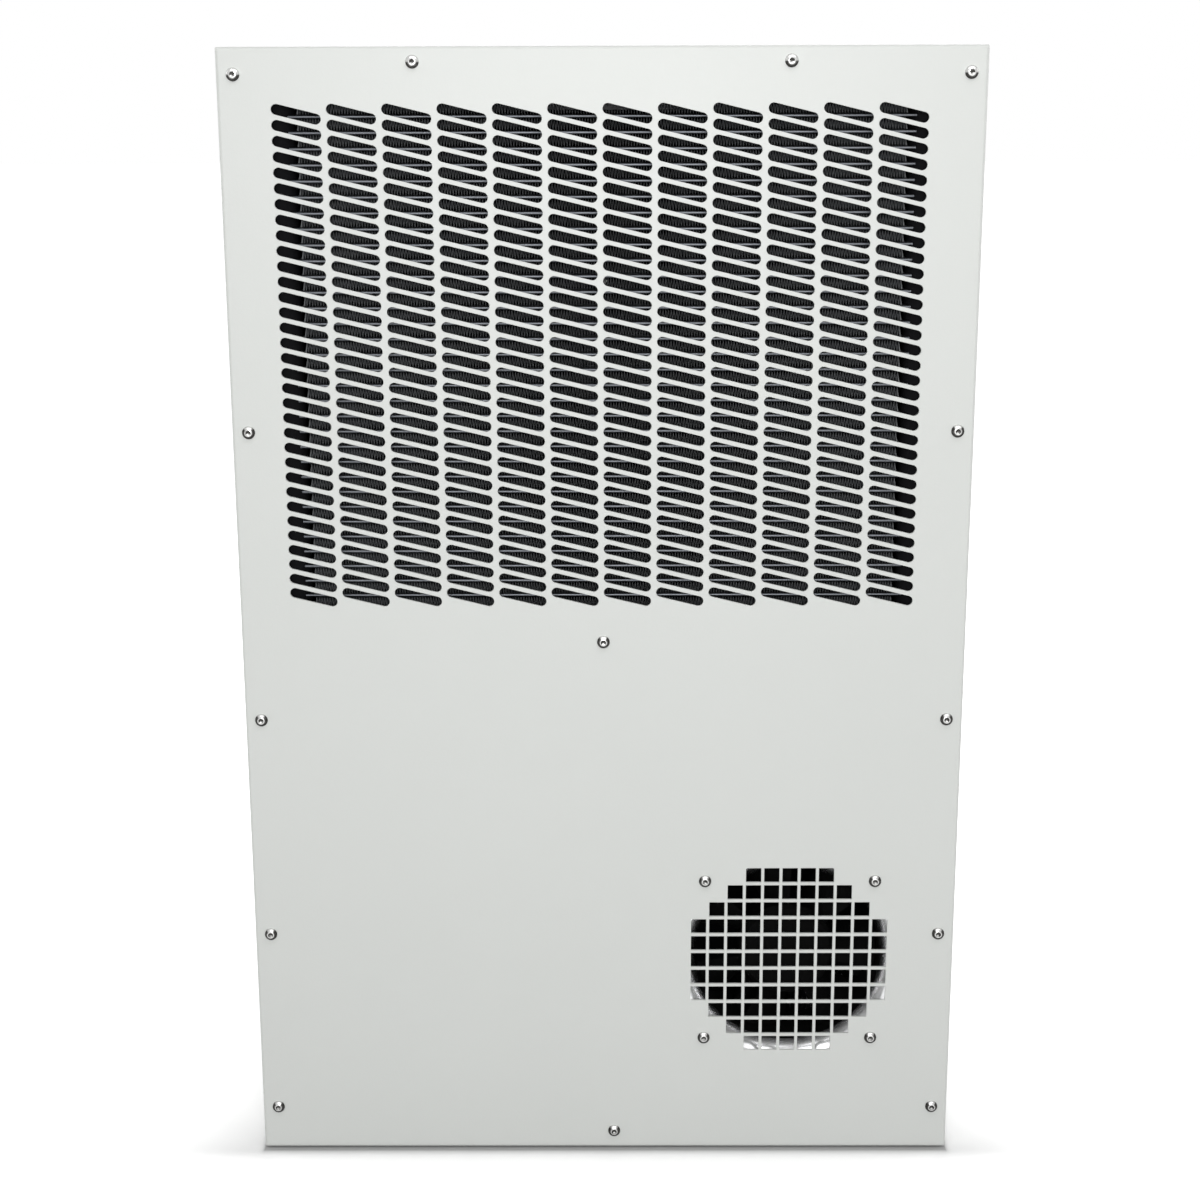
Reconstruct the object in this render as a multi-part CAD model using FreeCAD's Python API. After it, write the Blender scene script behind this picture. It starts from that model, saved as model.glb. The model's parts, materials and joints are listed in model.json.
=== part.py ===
import FreeCAD, Part
import math
import os
from FreeCAD import Vector

os.makedirs("parts", exist_ok=True)

# Millimetres. The cover faces -Y, +Z is up, and the origin lies on the floor under the middle of the case.

# Front cover
cover_width = 435.0
cover_return = 15.0  # depth of the folded edges
cover_bend = 2.0  # outside radius of the folds
cover_corner = 1.0
sheet = 1.5  # cover and case sheet
floor_gap = 1.0  # the cover stops short of the floor
slip = 0.3  # between the cover's folds and the frame inside them
seat_gap = 0.3  # between pieces that are pushed together
shadow_gap = 0.5  # between the cover's folds and the side panels

# Slanted vent slots
slot_columns = 12
slot_rows = 33
slot_length = 28.8
slot_width = 6.0
slot_tilt = 13.7
slot_pitch_x = 31.25
slot_pitch_z = 8.77
vent_shift = -1.2
vent_top_margin = 36.9  # first row below the top edge
vent_bottom_margin = 20.0  # last row above the cross rail
lower_height = 343.0  # floor to the top of the cross rail

# Round grille of square holes and the fan behind it
grille_pitch = 11.25
grille_hole = 9.4
grille_reach = 62.0
fan_from_right = 102.5
fan_from_bottom = 128.5
fan_size = 120.0
fan_depth = 38.0
fan_hole_spacing = 105.0
fan_bore_radius = 58.3
fan_wall = 1.6
fan_plate = 4.0
fan_nut_height = 3.2
fan_hub_radius = 30.0
fan_blades = 7
blade_tip_clearance = 1.2
mouth_depth = 9.0  # flared mouth between the cover and the fan
mouth_radius = 65.9
mouth_bulge = 0.6  # how far its curve stands off a straight cone
mouth_sheet = 1.0
mouth_margin = 3.0  # flat border round the mouth

# Button-head screws with a hexagon socket
screw_head_radius = 3.8
screw_head_height = 2.2
screw_radius = 1.95
screw_socket = 2.5
screw_hole_radius = 2.2
screw_length = 10.0
nut_radius = 4.0
nut_height = 4.0
nut_bore = 2.0
side_screws_from_bottom = (28.4, 146.2, 285.4)
side_screws_from_top = (218.2, 15.0)
side_screw_inset = 9.8
top_screw_inset = 8.4
top_screw_offset = 106.6
bottom_screw_inset = 11.6
bottom_screw_offset = 6.0
rail_screw_drop = 7.9

# Frame and case
frame_depth = 24.0
frame_flange = 20.0
base_sheet = 2.0
lip_height = 12.0
rear_flange = 18.0

# Heat exchangers with flat tubes
core_depth = 16.0
tube_height = 1.8
tube_pitch = 9.05
header_radius = 10.0
tube_insertion = 3.0
fin_thickness = 0.4
fin_wave = 14.0
side_plate = 1.5
condenser_gap = 8.5  # cover to condenser
condenser_side_gap = 18.0
evaporator_side_gap = 30.0
braze_gap = 0.03

# Compressor
shell_radius = 47.0
shell_height = 205.0
foot_bolt_radius = 56.0
ear_radius = 12.0
foot_plate = 3.0
grommet_radius = 11.0
grommet_height = 12.0
compressor_gap = 3.0
compressor_wall_gap = 15.0
accumulator_radius = 25.0
accumulator_gap = 6.0
accumulator_height = 120.0

# Depth of the two air paths
condenser_plenum = 46.0
evaporator_plenum = 32.0
supply_gap = 28.0
insulation = 4.0

# Pipes
small_pipe = 4.0
suction_pipe_radius = 6.0
bend_radius = 12.0

# Blower
impeller_radius = 95.0
inlet_radius = 66.0
blower_blades = 7
rotor_radius = 45.0
motor_radius = 36.0
running_fit = 0.05

# Rear
gasket_thickness = 4.0
gasket_width = 12.0
gasket_inset = 20.0
rear_grille_reach = 80.0
supply_slot_length = 58.0
supply_slot_width = 8.0
supply_pitch_x = 66.0
supply_pitch_z = 16.0
supply_columns = 5
supply_rows = 14
insert_radius = 4.5
insert_bore = 2.5
insert_flange = 6.5
insert_lip = 0.8
insert_length = 14.0
insert_inset = 9.0
insert_from_end = 62.0

# Drip tray and drain
tray_wall = 2.0
tray_height = 26.0
recess_size = 40.0
recess_height = 12.0
drain_radius = 6.0

# Control box
box_width = 140.0
box_height = 120.0
box_depth = 46.0
box_sheet = 1.2

# Heights
z_top = lower_height + vent_bottom_margin + (slot_rows - 1) * slot_pitch_z + vent_top_margin
frame_half = cover_width / 2 - sheet - slip
frame_bottom = floor_gap + sheet + slip
frame_top = z_top - sheet - slip
case_half = frame_half + sheet
inner_half = frame_half - base_sheet - seat_gap
tray_bottom = recess_height + base_sheet
evaporator_bottom = tray_bottom + tray_wall + 14.0

# Depths, from the cover's outer face
grommet_clear = 1.0
compressor_depth = frame_depth + grommet_clear + grommet_radius + foot_bolt_radius / 2
bay_depth = compressor_depth + foot_bolt_radius + ear_radius + compressor_gap
evaporator_depth = bay_depth + sheet + evaporator_plenum
inner_depth = evaporator_depth + core_depth + supply_gap
case_depth = inner_depth + sheet
overall_depth = screw_head_height + case_depth + gasket_thickness
front = screw_head_height - overall_depth / 2

# Planes that several pieces share
y_sheet = front + sheet
y_side = front + cover_return + shadow_gap
y_frame = front + frame_depth
fan_front = y_sheet + mouth_depth
fan_back = fan_front + fan_depth
y_condenser = y_sheet + condenser_gap
y_upper_wall = y_condenser + core_depth + condenser_plenum
y_blower = y_upper_wall + sheet
y_lower_wall = front + bay_depth
y_evaporator = front + evaporator_depth
y_rear = front + inner_depth
y_back = y_rear + sheet

# Places
fan_x = cover_width / 2 - fan_from_right
fan_z = floor_gap + fan_from_bottom
compressor_x = -frame_half + compressor_wall_gap + foot_bolt_radius * math.cos(math.radians(30)) + ear_radius
compressor_y = front + compressor_depth
foot_z = base_sheet + grommet_height
shell_z = foot_z + foot_plate
accumulator_x = compressor_x + shell_radius + accumulator_gap + accumulator_radius
accumulator_z = base_sheet + 64.0
condenser_header_x = frame_half - sheet - condenser_side_gap - header_radius
evaporator_header_x = frame_half - evaporator_side_gap - header_radius
line_x = fan_x - fan_size / 2 - 20.0
line_y = y_condenser + core_depth + 26.0
plenum_pipe_y = y_lower_wall + sheet + insulation + suction_pipe_radius + 1.5
blower_z = (lower_height + frame_top) / 2
suction_z = lower_height - 70.0
expansion_z = 100.0
condenser_count = int((z_top - vent_top_margin - lower_height) / tube_pitch)
evaporator_count = int((lower_height - 45.0 - evaporator_bottom) / tube_pitch)
fin_height = tube_pitch - tube_height
drain_x = evaporator_header_x - 25.0
tray_front = y_lower_wall + sheet + insulation + 1.0
tray_back = y_rear - base_sheet - 0.5
tray_half = inner_half - 2.0
drain_y = (tray_front + tray_back) / 2


def block(x0, x1, y0, y1, z0, z1):
    return Part.makeBox(x1 - x0, y1 - y0, z1 - z0, Vector(x0, y0, z0))


def rod_y(x, y0, y1, z, radius):
    return Part.makeCylinder(radius, y1 - y0, Vector(x, y0, z), Vector(0, 1, 0))


def rod_z(x, y, z0, z1, radius):
    return Part.makeCylinder(radius, z1 - z0, Vector(x, y, z0), Vector(0, 0, 1))


def polygon(points):
    return Part.Face(Part.makePolygon(points + [points[0]]))


def turned_y(profile, x, z):
    # profile is a list of (radius, y); the piece turns about an axis along Y
    face = polygon([Vector(radius, y, 0) for radius, y in profile])
    solid = face.revolve(Vector(0, 0, 0), Vector(0, 1, 0), 360)
    solid.translate(Vector(x, 0, z))
    return solid


def turned_z(profile, x, y):
    # profile is a list of (radius, z)
    face = polygon([Vector(radius, 0, z) for radius, z in profile])
    solid = face.revolve(Vector(0, 0, 0), Vector(0, 0, 1), 360)
    solid.translate(Vector(x, y, 0))
    return solid


def obround(x, z, length, width, tilt):
    half = (length - width) / 2
    r = width / 2
    corners = [Vector(-half, 0, r), Vector(half, 0, r), Vector(half, 0, -r), Vector(-half, 0, -r)]
    wire = Part.Wire([
        Part.LineSegment(corners[0], corners[1]).toShape(),
        Part.Arc(corners[1], Vector(half + r, 0, 0), corners[2]).toShape(),
        Part.LineSegment(corners[2], corners[3]).toShape(),
        Part.Arc(corners[3], Vector(-half - r, 0, 0), corners[0]).toShape(),
    ])
    wire.rotate(Vector(0, 0, 0), Vector(0, 1, 0), tilt)
    wire.translate(Vector(x, 0, z))
    return wire


def punch(wires, y0, y1):
    tools = [Part.Face(wire).extrude(Vector(0, y1 - y0, 0)) for wire in wires]
    tool = Part.makeCompound(tools)
    tool.translate(Vector(0, y0, 0))
    return tool


def square(x, z, side):
    h = side / 2
    return Part.makePolygon([
        Vector(x - h, 0, z - h), Vector(x + h, 0, z - h), Vector(x + h, 0, z + h),
        Vector(x - h, 0, z + h), Vector(x - h, 0, z - h),
    ])


def square_grille(x, z, reach):
    steps = int(reach / grille_pitch) + 1
    wires = []
    for i in range(-steps, steps + 1):
        for j in range(-steps, steps + 1):
            if math.hypot(i, j) * grille_pitch <= reach:
                wires.append(square(x + i * grille_pitch, z + j * grille_pitch, grille_hole))
    return wires


def hexagon(x, y, z, across):
    radius = across / math.sqrt(3)
    points = []
    for k in range(6):
        angle = math.radians(60 * k + 30)
        points.append(Vector(x + radius * math.cos(angle), y, z + radius * math.sin(angle)))
    return polygon(points)


def bent_pipe(points, radius, bend):
    edges = []
    start = points[0]
    for i in range(1, len(points) - 1):
        corner = points[i]
        back = (points[i - 1] - corner).normalize()
        ahead = (points[i + 1] - corner).normalize()
        half = back.getAngle(ahead) / 2
        reach = bend / math.tan(half)
        first = corner + back * reach
        last = corner + ahead * reach
        centre = corner + (back + ahead).normalize() * (bend / math.sin(half))
        middle = centre + (corner - centre).normalize() * bend
        edges.append(Part.LineSegment(start, first).toShape())
        edges.append(Part.Arc(first, middle, last).toShape())
        start = last
    edges.append(Part.LineSegment(start, points[-1]).toShape())
    path = Part.Wire(edges)
    way = (points[1] - points[0]).normalize()
    ring = Part.Wire(Part.makeCircle(radius, points[0], way))
    return path.makePipeShell([ring], True, False)


def save(name, shape):
    solids = shape.Solids
    piece = solids[0] if len(solids) == 1 else Part.makeCompound(solids)
    piece.exportStep("parts/" + name + ".step")


# Screw places on the cover

def cover_screw_places():
    places = []
    for side in (-1, 1):
        x = side * (cover_width / 2 - side_screw_inset)
        for height in side_screws_from_bottom:
            places.append((x, floor_gap + height))
        for drop in side_screws_from_top:
            places.append((x, z_top - drop))
        places.append((side * top_screw_offset, z_top - top_screw_inset))
    places.append((bottom_screw_offset, floor_gap + bottom_screw_inset))
    places.append((0.0, lower_height - rail_screw_drop))
    return places


def fan_screw_places():
    half = fan_hole_spacing / 2
    return [(fan_x + i * half, fan_z + j * half) for i in (-1, 1) for j in (-1, 1)]


def rear_screw_places():
    x = case_half - insert_inset
    places = []
    for side in (-1, 1):
        for share in (0.17, 0.36, 0.64, 0.83):
            places.append((side * x, z_top * share))
        places.append((side * 110.0, insert_inset))
        places.append((side * 110.0, z_top - insert_inset))
    return places


def insert_places():
    x = case_half - insert_inset
    heights = (insert_from_end, z_top / 2, z_top - insert_from_end)
    return [(side * x, z) for side in (-1, 1) for z in heights]


def vent_wires():
    wires = []
    first = z_top - vent_top_margin
    for column in range(slot_columns):
        x = vent_shift + (column - (slot_columns - 1) / 2) * slot_pitch_x
        for row in range(slot_rows):
            wires.append(obround(x, first - row * slot_pitch_z, slot_length, slot_width, slot_tilt))
    return wires


def holes_y(places, radius, y0, y1):
    return Part.makeCompound([rod_y(x, y0, y1, z, radius) for x, z in places])


# Cover, frame and case

def front_cover():
    half = cover_width / 2
    body = block(-half, half, front, front + cover_return, floor_gap, z_top)
    corners = [e for e in body.Edges if abs(e.Vertexes[0].Y - e.Vertexes[1].Y) > 1]
    body = body.makeFillet(cover_corner, corners)
    folds = [e for e in body.Edges if all(abs(v.Y - front) < 1e-6 for v in e.Vertexes)]
    body = body.makeFillet(cover_bend, folds)
    hollow = block(-half + sheet, half - sheet, y_sheet, front + 2 * cover_return, floor_gap + sheet, z_top - sheet)
    body = body.cut(hollow)
    wires = vent_wires() + square_grille(fan_x, fan_z, grille_reach)
    body = body.cut(punch(wires, front - 1, y_sheet + 1))
    holes = holes_y(cover_screw_places() + fan_screw_places(), screw_hole_radius, front - 1, y_sheet + 1)
    return body.cut(holes)


def button_screw(x, z, length):
    # the head stands on the cover's face and points to -Y
    dome = Part.Arc(Vector(screw_head_radius, -0.4, 0), Vector(screw_head_radius * 0.82, -screw_head_height * 0.72, 0),
                    Vector(screw_head_radius * 0.5, -screw_head_height, 0)).toShape()
    corners = [
        Vector(screw_head_radius * 0.5, -screw_head_height, 0), Vector(0, -screw_head_height, 0),
        Vector(0, length, 0), Vector(screw_radius - 0.3, length, 0), Vector(screw_radius, length - 0.5, 0),
        Vector(screw_radius, 0, 0), Vector(screw_head_radius, 0, 0), Vector(screw_head_radius, -0.4, 0),
    ]
    outline = Part.Wire([dome] + Part.makePolygon(corners).Edges)
    screw = Part.Face(outline).revolve(Vector(0, 0, 0), Vector(0, 1, 0), 360)
    socket = hexagon(0, -screw_head_height - 1, 0, screw_socket).extrude(Vector(0, 1 + 0.6 * screw_head_height, 0))
    screw = screw.cut(socket)
    screw.translate(Vector(x, front, z))
    return screw


def cover_screws():
    return Part.makeCompound([button_screw(x, z, screw_length) for x, z in cover_screw_places()])


def cover_nuts():
    y0 = y_sheet + sheet
    nuts = []
    for x, z in cover_screw_places():
        nuts.append(rod_y(x, y0, y0 + nut_height, z, nut_radius).cut(rod_y(x, y0, y0 + nut_height, z, nut_bore)))
    return Part.makeCompound(nuts)


def front_frame():
    body = block(-frame_half, frame_half, y_sheet, y_frame, frame_bottom, frame_top)
    inside = frame_half - sheet
    body = body.cut(block(-inside, inside, y_sheet + sheet, y_frame + 1, frame_bottom + sheet, frame_top - sheet))
    window = frame_half - frame_flange
    body = body.cut(block(-window, window, front, y_frame, frame_bottom + frame_flange, frame_top - frame_flange))
    return body.cut(holes_y(cover_screw_places(), screw_hole_radius, front, y_frame))


def side_panel(side):
    outer = block(frame_half, case_half, y_side, y_rear, base_sheet, frame_top)
    flange = block(frame_half - rear_flange, frame_half, y_rear - sheet, y_rear, base_sheet, frame_top)
    panel = outer.fuse(flange).removeSplitter()
    bend = [e for e in panel.Edges if all(abs(v.X - case_half) + abs(v.Y - y_rear) < 1e-6 for v in e.Vertexes)]
    panel = panel.makeFillet(sheet, bend)
    if side < 0:
        panel = panel.mirror(Vector(0, 0, 0), Vector(1, 0, 0))
    panel = panel.cut(holes_y(insert_places(), insert_radius + running_fit, y_rear - 5, y_rear + 5))
    return panel.cut(holes_y(rear_screw_places(), screw_radius + running_fit, y_rear - 5, y_rear + 5))


def cap_panel(z0, z1, lip_base, lip_end, flange_end, thickness):
    # flat sheet with a lip along each side and a flange along the back, all turned the same way
    panel = block(-case_half, case_half, y_side, y_rear, min(z0, z1), max(z0, z1))
    low = min(lip_base, lip_end)
    high = max(lip_base, lip_end)
    for side in (-1, 1):
        x0 = min(side * frame_half, side * (frame_half - thickness))
        panel = panel.fuse(block(x0, x0 + thickness, y_frame + 0.5, y_rear - thickness - 0.5, low, high))
    half = frame_half - rear_flange - 0.5
    back = block(-half, half, y_rear - thickness, y_rear, min(lip_base, flange_end), max(lip_base, flange_end))
    panel = panel.fuse(back).removeSplitter()
    return panel.cut(holes_y(rear_screw_places(), screw_radius + running_fit, y_rear - 5, y_rear + 5))


def top_panel():
    return cap_panel(frame_top, frame_top + sheet, frame_top, frame_top - lip_height, frame_top - rear_flange, sheet)


def base_pan():
    pan = cap_panel(0, base_sheet, base_sheet, base_sheet + lip_height, base_sheet + rear_flange, base_sheet)
    half = recess_size / 2
    wall = half + base_sheet
    pan = pan.fuse(block(drain_x - wall, drain_x + wall, drain_y - wall, drain_y + wall, 0, tray_bottom))
    pan = pan.cut(block(drain_x - half, drain_x + half, drain_y - half, drain_y + half, -1, recess_height))
    pan = pan.cut(rod_z(drain_x, drain_y, 0, tray_bottom + 1, drain_radius + 0.1))
    return pan.removeSplitter()


def rear_panel():
    panel = block(-case_half, case_half, y_rear, y_back, floor_gap, frame_top + sheet)
    wires = square_grille(0, blower_z, rear_grille_reach)
    first = evaporator_bottom + 20.0
    for column in range(supply_columns):
        x = (column - (supply_columns - 1) / 2) * supply_pitch_x
        for row in range(supply_rows):
            wires.append(obround(x, first + row * supply_pitch_z, supply_slot_length, supply_slot_width, 0))
    panel = panel.cut(punch(wires, y_rear - 1, y_back + 1))
    panel = panel.cut(holes_y(insert_places(), insert_radius + running_fit, y_rear - 1, y_back + 1))
    panel = panel.cut(holes_y(rear_screw_places(), screw_radius + running_fit, y_rear - 1, y_back + 1))
    return panel.cut(holes_y([cable_place()], cable_hole_radius, y_rear - 1, y_back + 1))


cable_hole_radius = 12.0


def cable_place():
    return (-evaporator_header_x + 20.0, lower_height + 18.0)


def cable_grommet():
    x, z = cable_place()
    neck = cable_hole_radius - 0.1
    rim = cable_hole_radius + 3.5
    profile = [
        (0, y_back - 0.5), (4.0, y_back - 0.5), (6.5, y_back + 2.5), (8.0, y_back + 2.5), (8.5, y_back + 3.0),
        (rim, y_back + 3.0), (rim, y_back), (neck, y_back), (neck, y_rear), (rim - 1.0, y_rear),
        (rim - 1.5, y_rear - 2.0), (8.0, y_rear - 2.0), (5.0, y_rear - 0.5), (0, y_rear - 0.5),
    ]
    return turned_y(profile, x, z)


def rear_screws():
    screws = []
    for x, z in rear_screw_places():
        head = turned_y([(0, y_rear - 8.0), (screw_radius - 0.5, y_rear - 8.0), (screw_radius, y_rear - 7.0),
                         (screw_radius, y_back), (screw_head_radius, y_back), (screw_head_radius, y_back + 1.2),
                         (screw_head_radius - 1.2, y_back + 2.2), (0, y_back + 2.2)], x, z)
        for turn in (0, 90):
            slot = block(-2.2, 2.2, y_back + 1.0, y_back + 3.0, -0.5, 0.5)
            slot.rotate(Vector(0, 0, 0), Vector(0, 1, 0), turn)
            slot.translate(Vector(x, 0, z))
            head = head.cut(slot)
        screws.append(head)
    return Part.makeCompound(screws)


def mounting_inserts():
    inserts = []
    for x, z in insert_places():
        inserts.append(turned_y([(insert_bore, y_back - insert_length), (insert_radius, y_back - insert_length),
                                 (insert_radius, y_back), (insert_flange, y_back), (insert_flange, y_back + insert_lip),
                                 (insert_bore, y_back + insert_lip)], x, z))
    return Part.makeCompound(inserts)


def mounting_gasket():
    half = case_half - gasket_inset
    low = floor_gap + gasket_inset
    high = frame_top - gasket_inset
    ring = block(-half, half, y_back, y_back + gasket_thickness, low, high)
    inside = half - gasket_width
    return ring.cut(block(-inside, inside, y_back - 1, y_back + gasket_thickness + 1,
                          low + gasket_width, high - gasket_width))


# Partition between outside air and cabinet air

def partition():
    shelf = lower_height
    outline = [
        (y_lower_wall, base_sheet), (y_lower_wall, shelf), (y_upper_wall, shelf), (y_upper_wall, frame_top),
        (y_blower, frame_top), (y_blower, shelf + sheet), (y_lower_wall + sheet, shelf + sheet),
        (y_lower_wall + sheet, base_sheet),
    ]
    wall = polygon([Vector(-inner_half, y, z) for y, z in outline]).extrude(Vector(2 * inner_half, 0, 0))
    wall = wall.cut(rod_y(accumulator_x, front, y_rear, suction_z, suction_pipe_radius + 4.0))
    wall = wall.cut(rod_y(line_x, front, y_rear, expansion_z, small_pipe + 4.0))
    return wall.cut(holes_y(motor_screw_places(), screw_hole_radius, y_upper_wall - 1, y_blower + 1))


def partition_insulation():
    y0 = y_lower_wall + sheet
    pad = block(-inner_half, inner_half, y0, y0 + insulation, tray_bottom + 2.0, lower_height - 1.0)
    pad = pad.cut(rod_y(accumulator_x, front, y_rear, suction_z, suction_pipe_radius + 9.0))
    return pad.cut(rod_y(line_x, front, y_rear, expansion_z, small_pipe + 9.0))


def pipe_grommet(x, z, radius):
    bore = radius + 0.5
    neck = radius + 4.0 - 0.1
    rim = radius + 6.5
    y0 = y_lower_wall
    y1 = y_lower_wall + sheet
    return turned_y([(bore, y0 - 2.0), (rim, y0 - 2.0), (rim, y0), (neck, y0), (neck, y1), (rim, y1),
                     (rim, y1 + 2.0), (bore, y1 + 2.0)], x, z)


def pipe_grommets():
    return Part.makeCompound([pipe_grommet(accumulator_x, suction_z, suction_pipe_radius),
                              pipe_grommet(line_x, expansion_z, small_pipe)])


# Heat exchangers

def core_top(bottom, count):
    return bottom + 2 * side_plate + (count + 1) * fin_height + count * tube_height


def tube_face(x, y, z, grow):
    # flat tube section with rounded noses, in the YZ plane
    r = tube_height / 2 + grow
    y0 = y + tube_height / 2
    y1 = y + core_depth - tube_height / 2
    wire = Part.Wire([
        Part.LineSegment(Vector(x, y0, z - r), Vector(x, y1, z - r)).toShape(),
        Part.Arc(Vector(x, y1, z - r), Vector(x, y1 + r, z), Vector(x, y1, z + r)).toShape(),
        Part.LineSegment(Vector(x, y1, z + r), Vector(x, y0, z + r)).toShape(),
        Part.Arc(Vector(x, y0, z + r), Vector(x, y0 - r, z), Vector(x, y0, z - r)).toShape(),
    ])
    return Part.Face(wire)


def tube_heights(bottom, count):
    first = bottom + side_plate + fin_height + tube_height / 2
    return [first + k * tube_pitch for k in range(count)]


def flat_tubes(header_x, y, bottom, count, grow):
    half = header_x - header_radius + tube_insertion + grow
    tubes = []
    for z in tube_heights(bottom, count):
        tubes.append(tube_face(-half, y, z, grow).extrude(Vector(2 * half, 0, 0)))
    return Part.makeCompound(tubes)


def fins(header_x, y, bottom, count):
    # one zigzag strip lies in each space between tubes
    half = header_x - header_radius - 2.0
    legs = 2 * int(half / fin_wave) * 2
    step = 2 * half / legs
    rise = fin_height - 2 * braze_gap
    band = fin_thickness * math.hypot(step, rise) / step
    strips = []
    for layer in range(count + 1):
        z0 = bottom + side_plate + layer * tube_pitch + braze_gap
        upper = []
        lower = []
        for k in range(legs + 1):
            x = -half + k * step
            z = z0 if k % 2 == 0 else z0 + rise - band
            lower.append(Vector(x, y, z))
            upper.append(Vector(x, y, z + band))
        strip = polygon(lower + upper[::-1]).extrude(Vector(0, core_depth, 0))
        strips.append(strip)
    return Part.makeCompound(strips)


def header(x, y_core, bottom, count, slots, stub):
    y = y_core + core_depth / 2
    top = core_top(bottom, count)
    tube = rod_z(x, y, bottom + 0.5, top - 0.5, header_radius)
    ends = [e for e in tube.Edges if len(e.Vertexes) == 1]
    tube = tube.makeFillet(3.0, ends)
    return tube.fuse(stub).removeSplitter().cut(slots)


def side_plates(header_x, y, bottom, count):
    half = header_x - header_radius - seat_gap
    top = core_top(bottom, count)
    low = block(-half, half, y, y + core_depth, bottom, bottom + side_plate)
    high = block(-half, half, y, y + core_depth, top - side_plate, top)
    return Part.makeCompound([low, high])


def condenser_header(side):
    x = side * condenser_header_x
    z = condenser_top - 25.0 if side < 0 else lower_height + 27.0
    stub = rod_y(x, y_condenser + core_depth / 2, header_stub, z, small_pipe + 2.0)
    slots = flat_tubes(condenser_header_x, y_condenser, lower_height, condenser_count, braze_gap)
    return header(x, y_condenser, lower_height, condenser_count, slots, stub)


condenser_top = core_top(lower_height, condenser_count)
evaporator_top = core_top(evaporator_bottom, evaporator_count)
header_stub = y_condenser + core_depth / 2 + header_radius + 3.0
evaporator_stub = y_evaporator + core_depth / 2 - header_radius - 3.0


def evaporator_header(side):
    x = side * evaporator_header_x
    z = suction_z if side < 0 else expansion_z
    radius = suction_pipe_radius if side < 0 else small_pipe
    stub = rod_y(x, evaporator_stub, y_evaporator + core_depth / 2, z, radius + 2.0)
    slots = flat_tubes(evaporator_header_x, y_evaporator, evaporator_bottom, evaporator_count, braze_gap)
    return header(x, y_evaporator, evaporator_bottom, evaporator_count, slots, stub)


def cross_rail():
    half = frame_half - frame_flange - seat_gap
    web = frame_half - sheet - seat_gap
    back = y_condenser + core_depth + 2.0
    rail = block(-half, half, y_sheet, y_sheet + sheet, lower_height - 21.0, lower_height)
    rail = rail.fuse(block(-web, web, y_sheet + sheet, back, lower_height - sheet, lower_height))
    lip = condenser_header_x - header_radius - 1.0
    rail = rail.fuse(block(-lip, lip, back - sheet, back, lower_height, lower_height + 6.0)).removeSplitter()
    return rail.cut(holes_y(cover_screw_places(), screw_hole_radius, front, y_sheet + sheet + 1))


def top_rail():
    half = frame_half - frame_flange - seat_gap
    web = frame_half - sheet - seat_gap
    back = y_condenser + core_depth + 2.0
    high = frame_top - frame_flange - seat_gap
    rail = block(-half, half, y_sheet, y_sheet + sheet, condenser_top, high)
    rail = rail.fuse(block(-web, web, y_sheet + sheet, back, condenser_top, condenser_top + sheet))
    lip = condenser_header_x - header_radius - 1.0
    return rail.fuse(block(-lip, lip, back - sheet, back, condenser_top - 6.0, condenser_top)).removeSplitter()


# Axial fan behind the cover, with a conical mouth between them

def fan_inlet_ring():
    half = mouth_radius + mouth_margin
    plate = block(fan_x - half, fan_x + half, y_sheet, y_sheet + mouth_sheet, fan_z - half, fan_z + half)
    plate = plate.makeFillet(6.0, [e for e in plate.Edges if abs(e.Vertexes[0].Y - e.Vertexes[1].Y) > 0.5])
    plate = plate.cut(rod_y(fan_x, y_sheet - 1, y_sheet + 5, fan_z, mouth_radius + mouth_sheet / 2))
    outer = Vector(mouth_radius, y_sheet, 0)
    inner = Vector(fan_bore_radius, fan_front, 0)
    off_cone = Vector(outer.y - inner.y, inner.x - outer.x, 0).normalize()
    middle = (outer + inner) * 0.5 + off_cone * mouth_bulge
    rim = outer + Vector(mouth_sheet, 0, 0)
    back_outer = rim + Vector(0, mouth_sheet, 0)
    back_inner = inner + Vector(mouth_sheet, 0, 0)
    flare = Part.Arc(outer, middle, inner).toShape()
    back = Part.Arc(back_inner, middle - off_cone * mouth_sheet, back_outer).toShape()
    outline = Part.Wire([flare, Part.makeLine(inner, back_inner), back, Part.makeLine(back_outer, rim),
                         Part.makeLine(rim, outer)])
    ring = Part.Face(outline).revolve(Vector(0, 0, 0), Vector(0, 1, 0), 360)
    ring.translate(Vector(fan_x, 0, fan_z))
    ring = ring.fuse(plate).removeSplitter()
    return ring.cut(holes_y(fan_screw_places(), screw_hole_radius, y_sheet - 1, y_sheet + 5))


def fan_frame():
    half = fan_size / 2
    body = rod_y(fan_x, fan_front, fan_back, fan_z, fan_bore_radius + fan_wall)
    for y in (fan_front, fan_back - fan_plate):
        plate = block(fan_x - half, fan_x + half, y, y + fan_plate, fan_z - half, fan_z + half)
        plate = plate.makeFillet(5.0, [e for e in plate.Edges if abs(e.Vertexes[0].Y - e.Vertexes[1].Y) > 1])
        body = body.fuse(plate)
    body = body.cut(rod_y(fan_x, fan_front - 1, fan_back + 1, fan_z, fan_bore_radius))
    for k in range(4):
        strut = block(fan_hub_radius - 3.0, fan_bore_radius + 1.0, fan_back - 4.0, fan_back, -2.5, 2.5)
        strut.rotate(Vector(0, 0, 0), Vector(0, 1, 0), 30 + 90 * k)
        strut.translate(Vector(fan_x, 0, fan_z))
        body = body.fuse(strut)
    body = body.fuse(rod_y(fan_x, fan_back - 3.5, fan_back, fan_z, fan_hub_radius - 1.0))
    body = body.fuse(rod_y(fan_x, fan_front + 12.0, fan_back - 3.5, fan_z, 7.0))
    body = body.cut(rod_y(fan_x, fan_front + 11.0, fan_back - 2.0, fan_z, 5.0))
    return body.removeSplitter().cut(holes_y(fan_screw_places(), screw_hole_radius, fan_front - 1, fan_back + 1))


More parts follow.
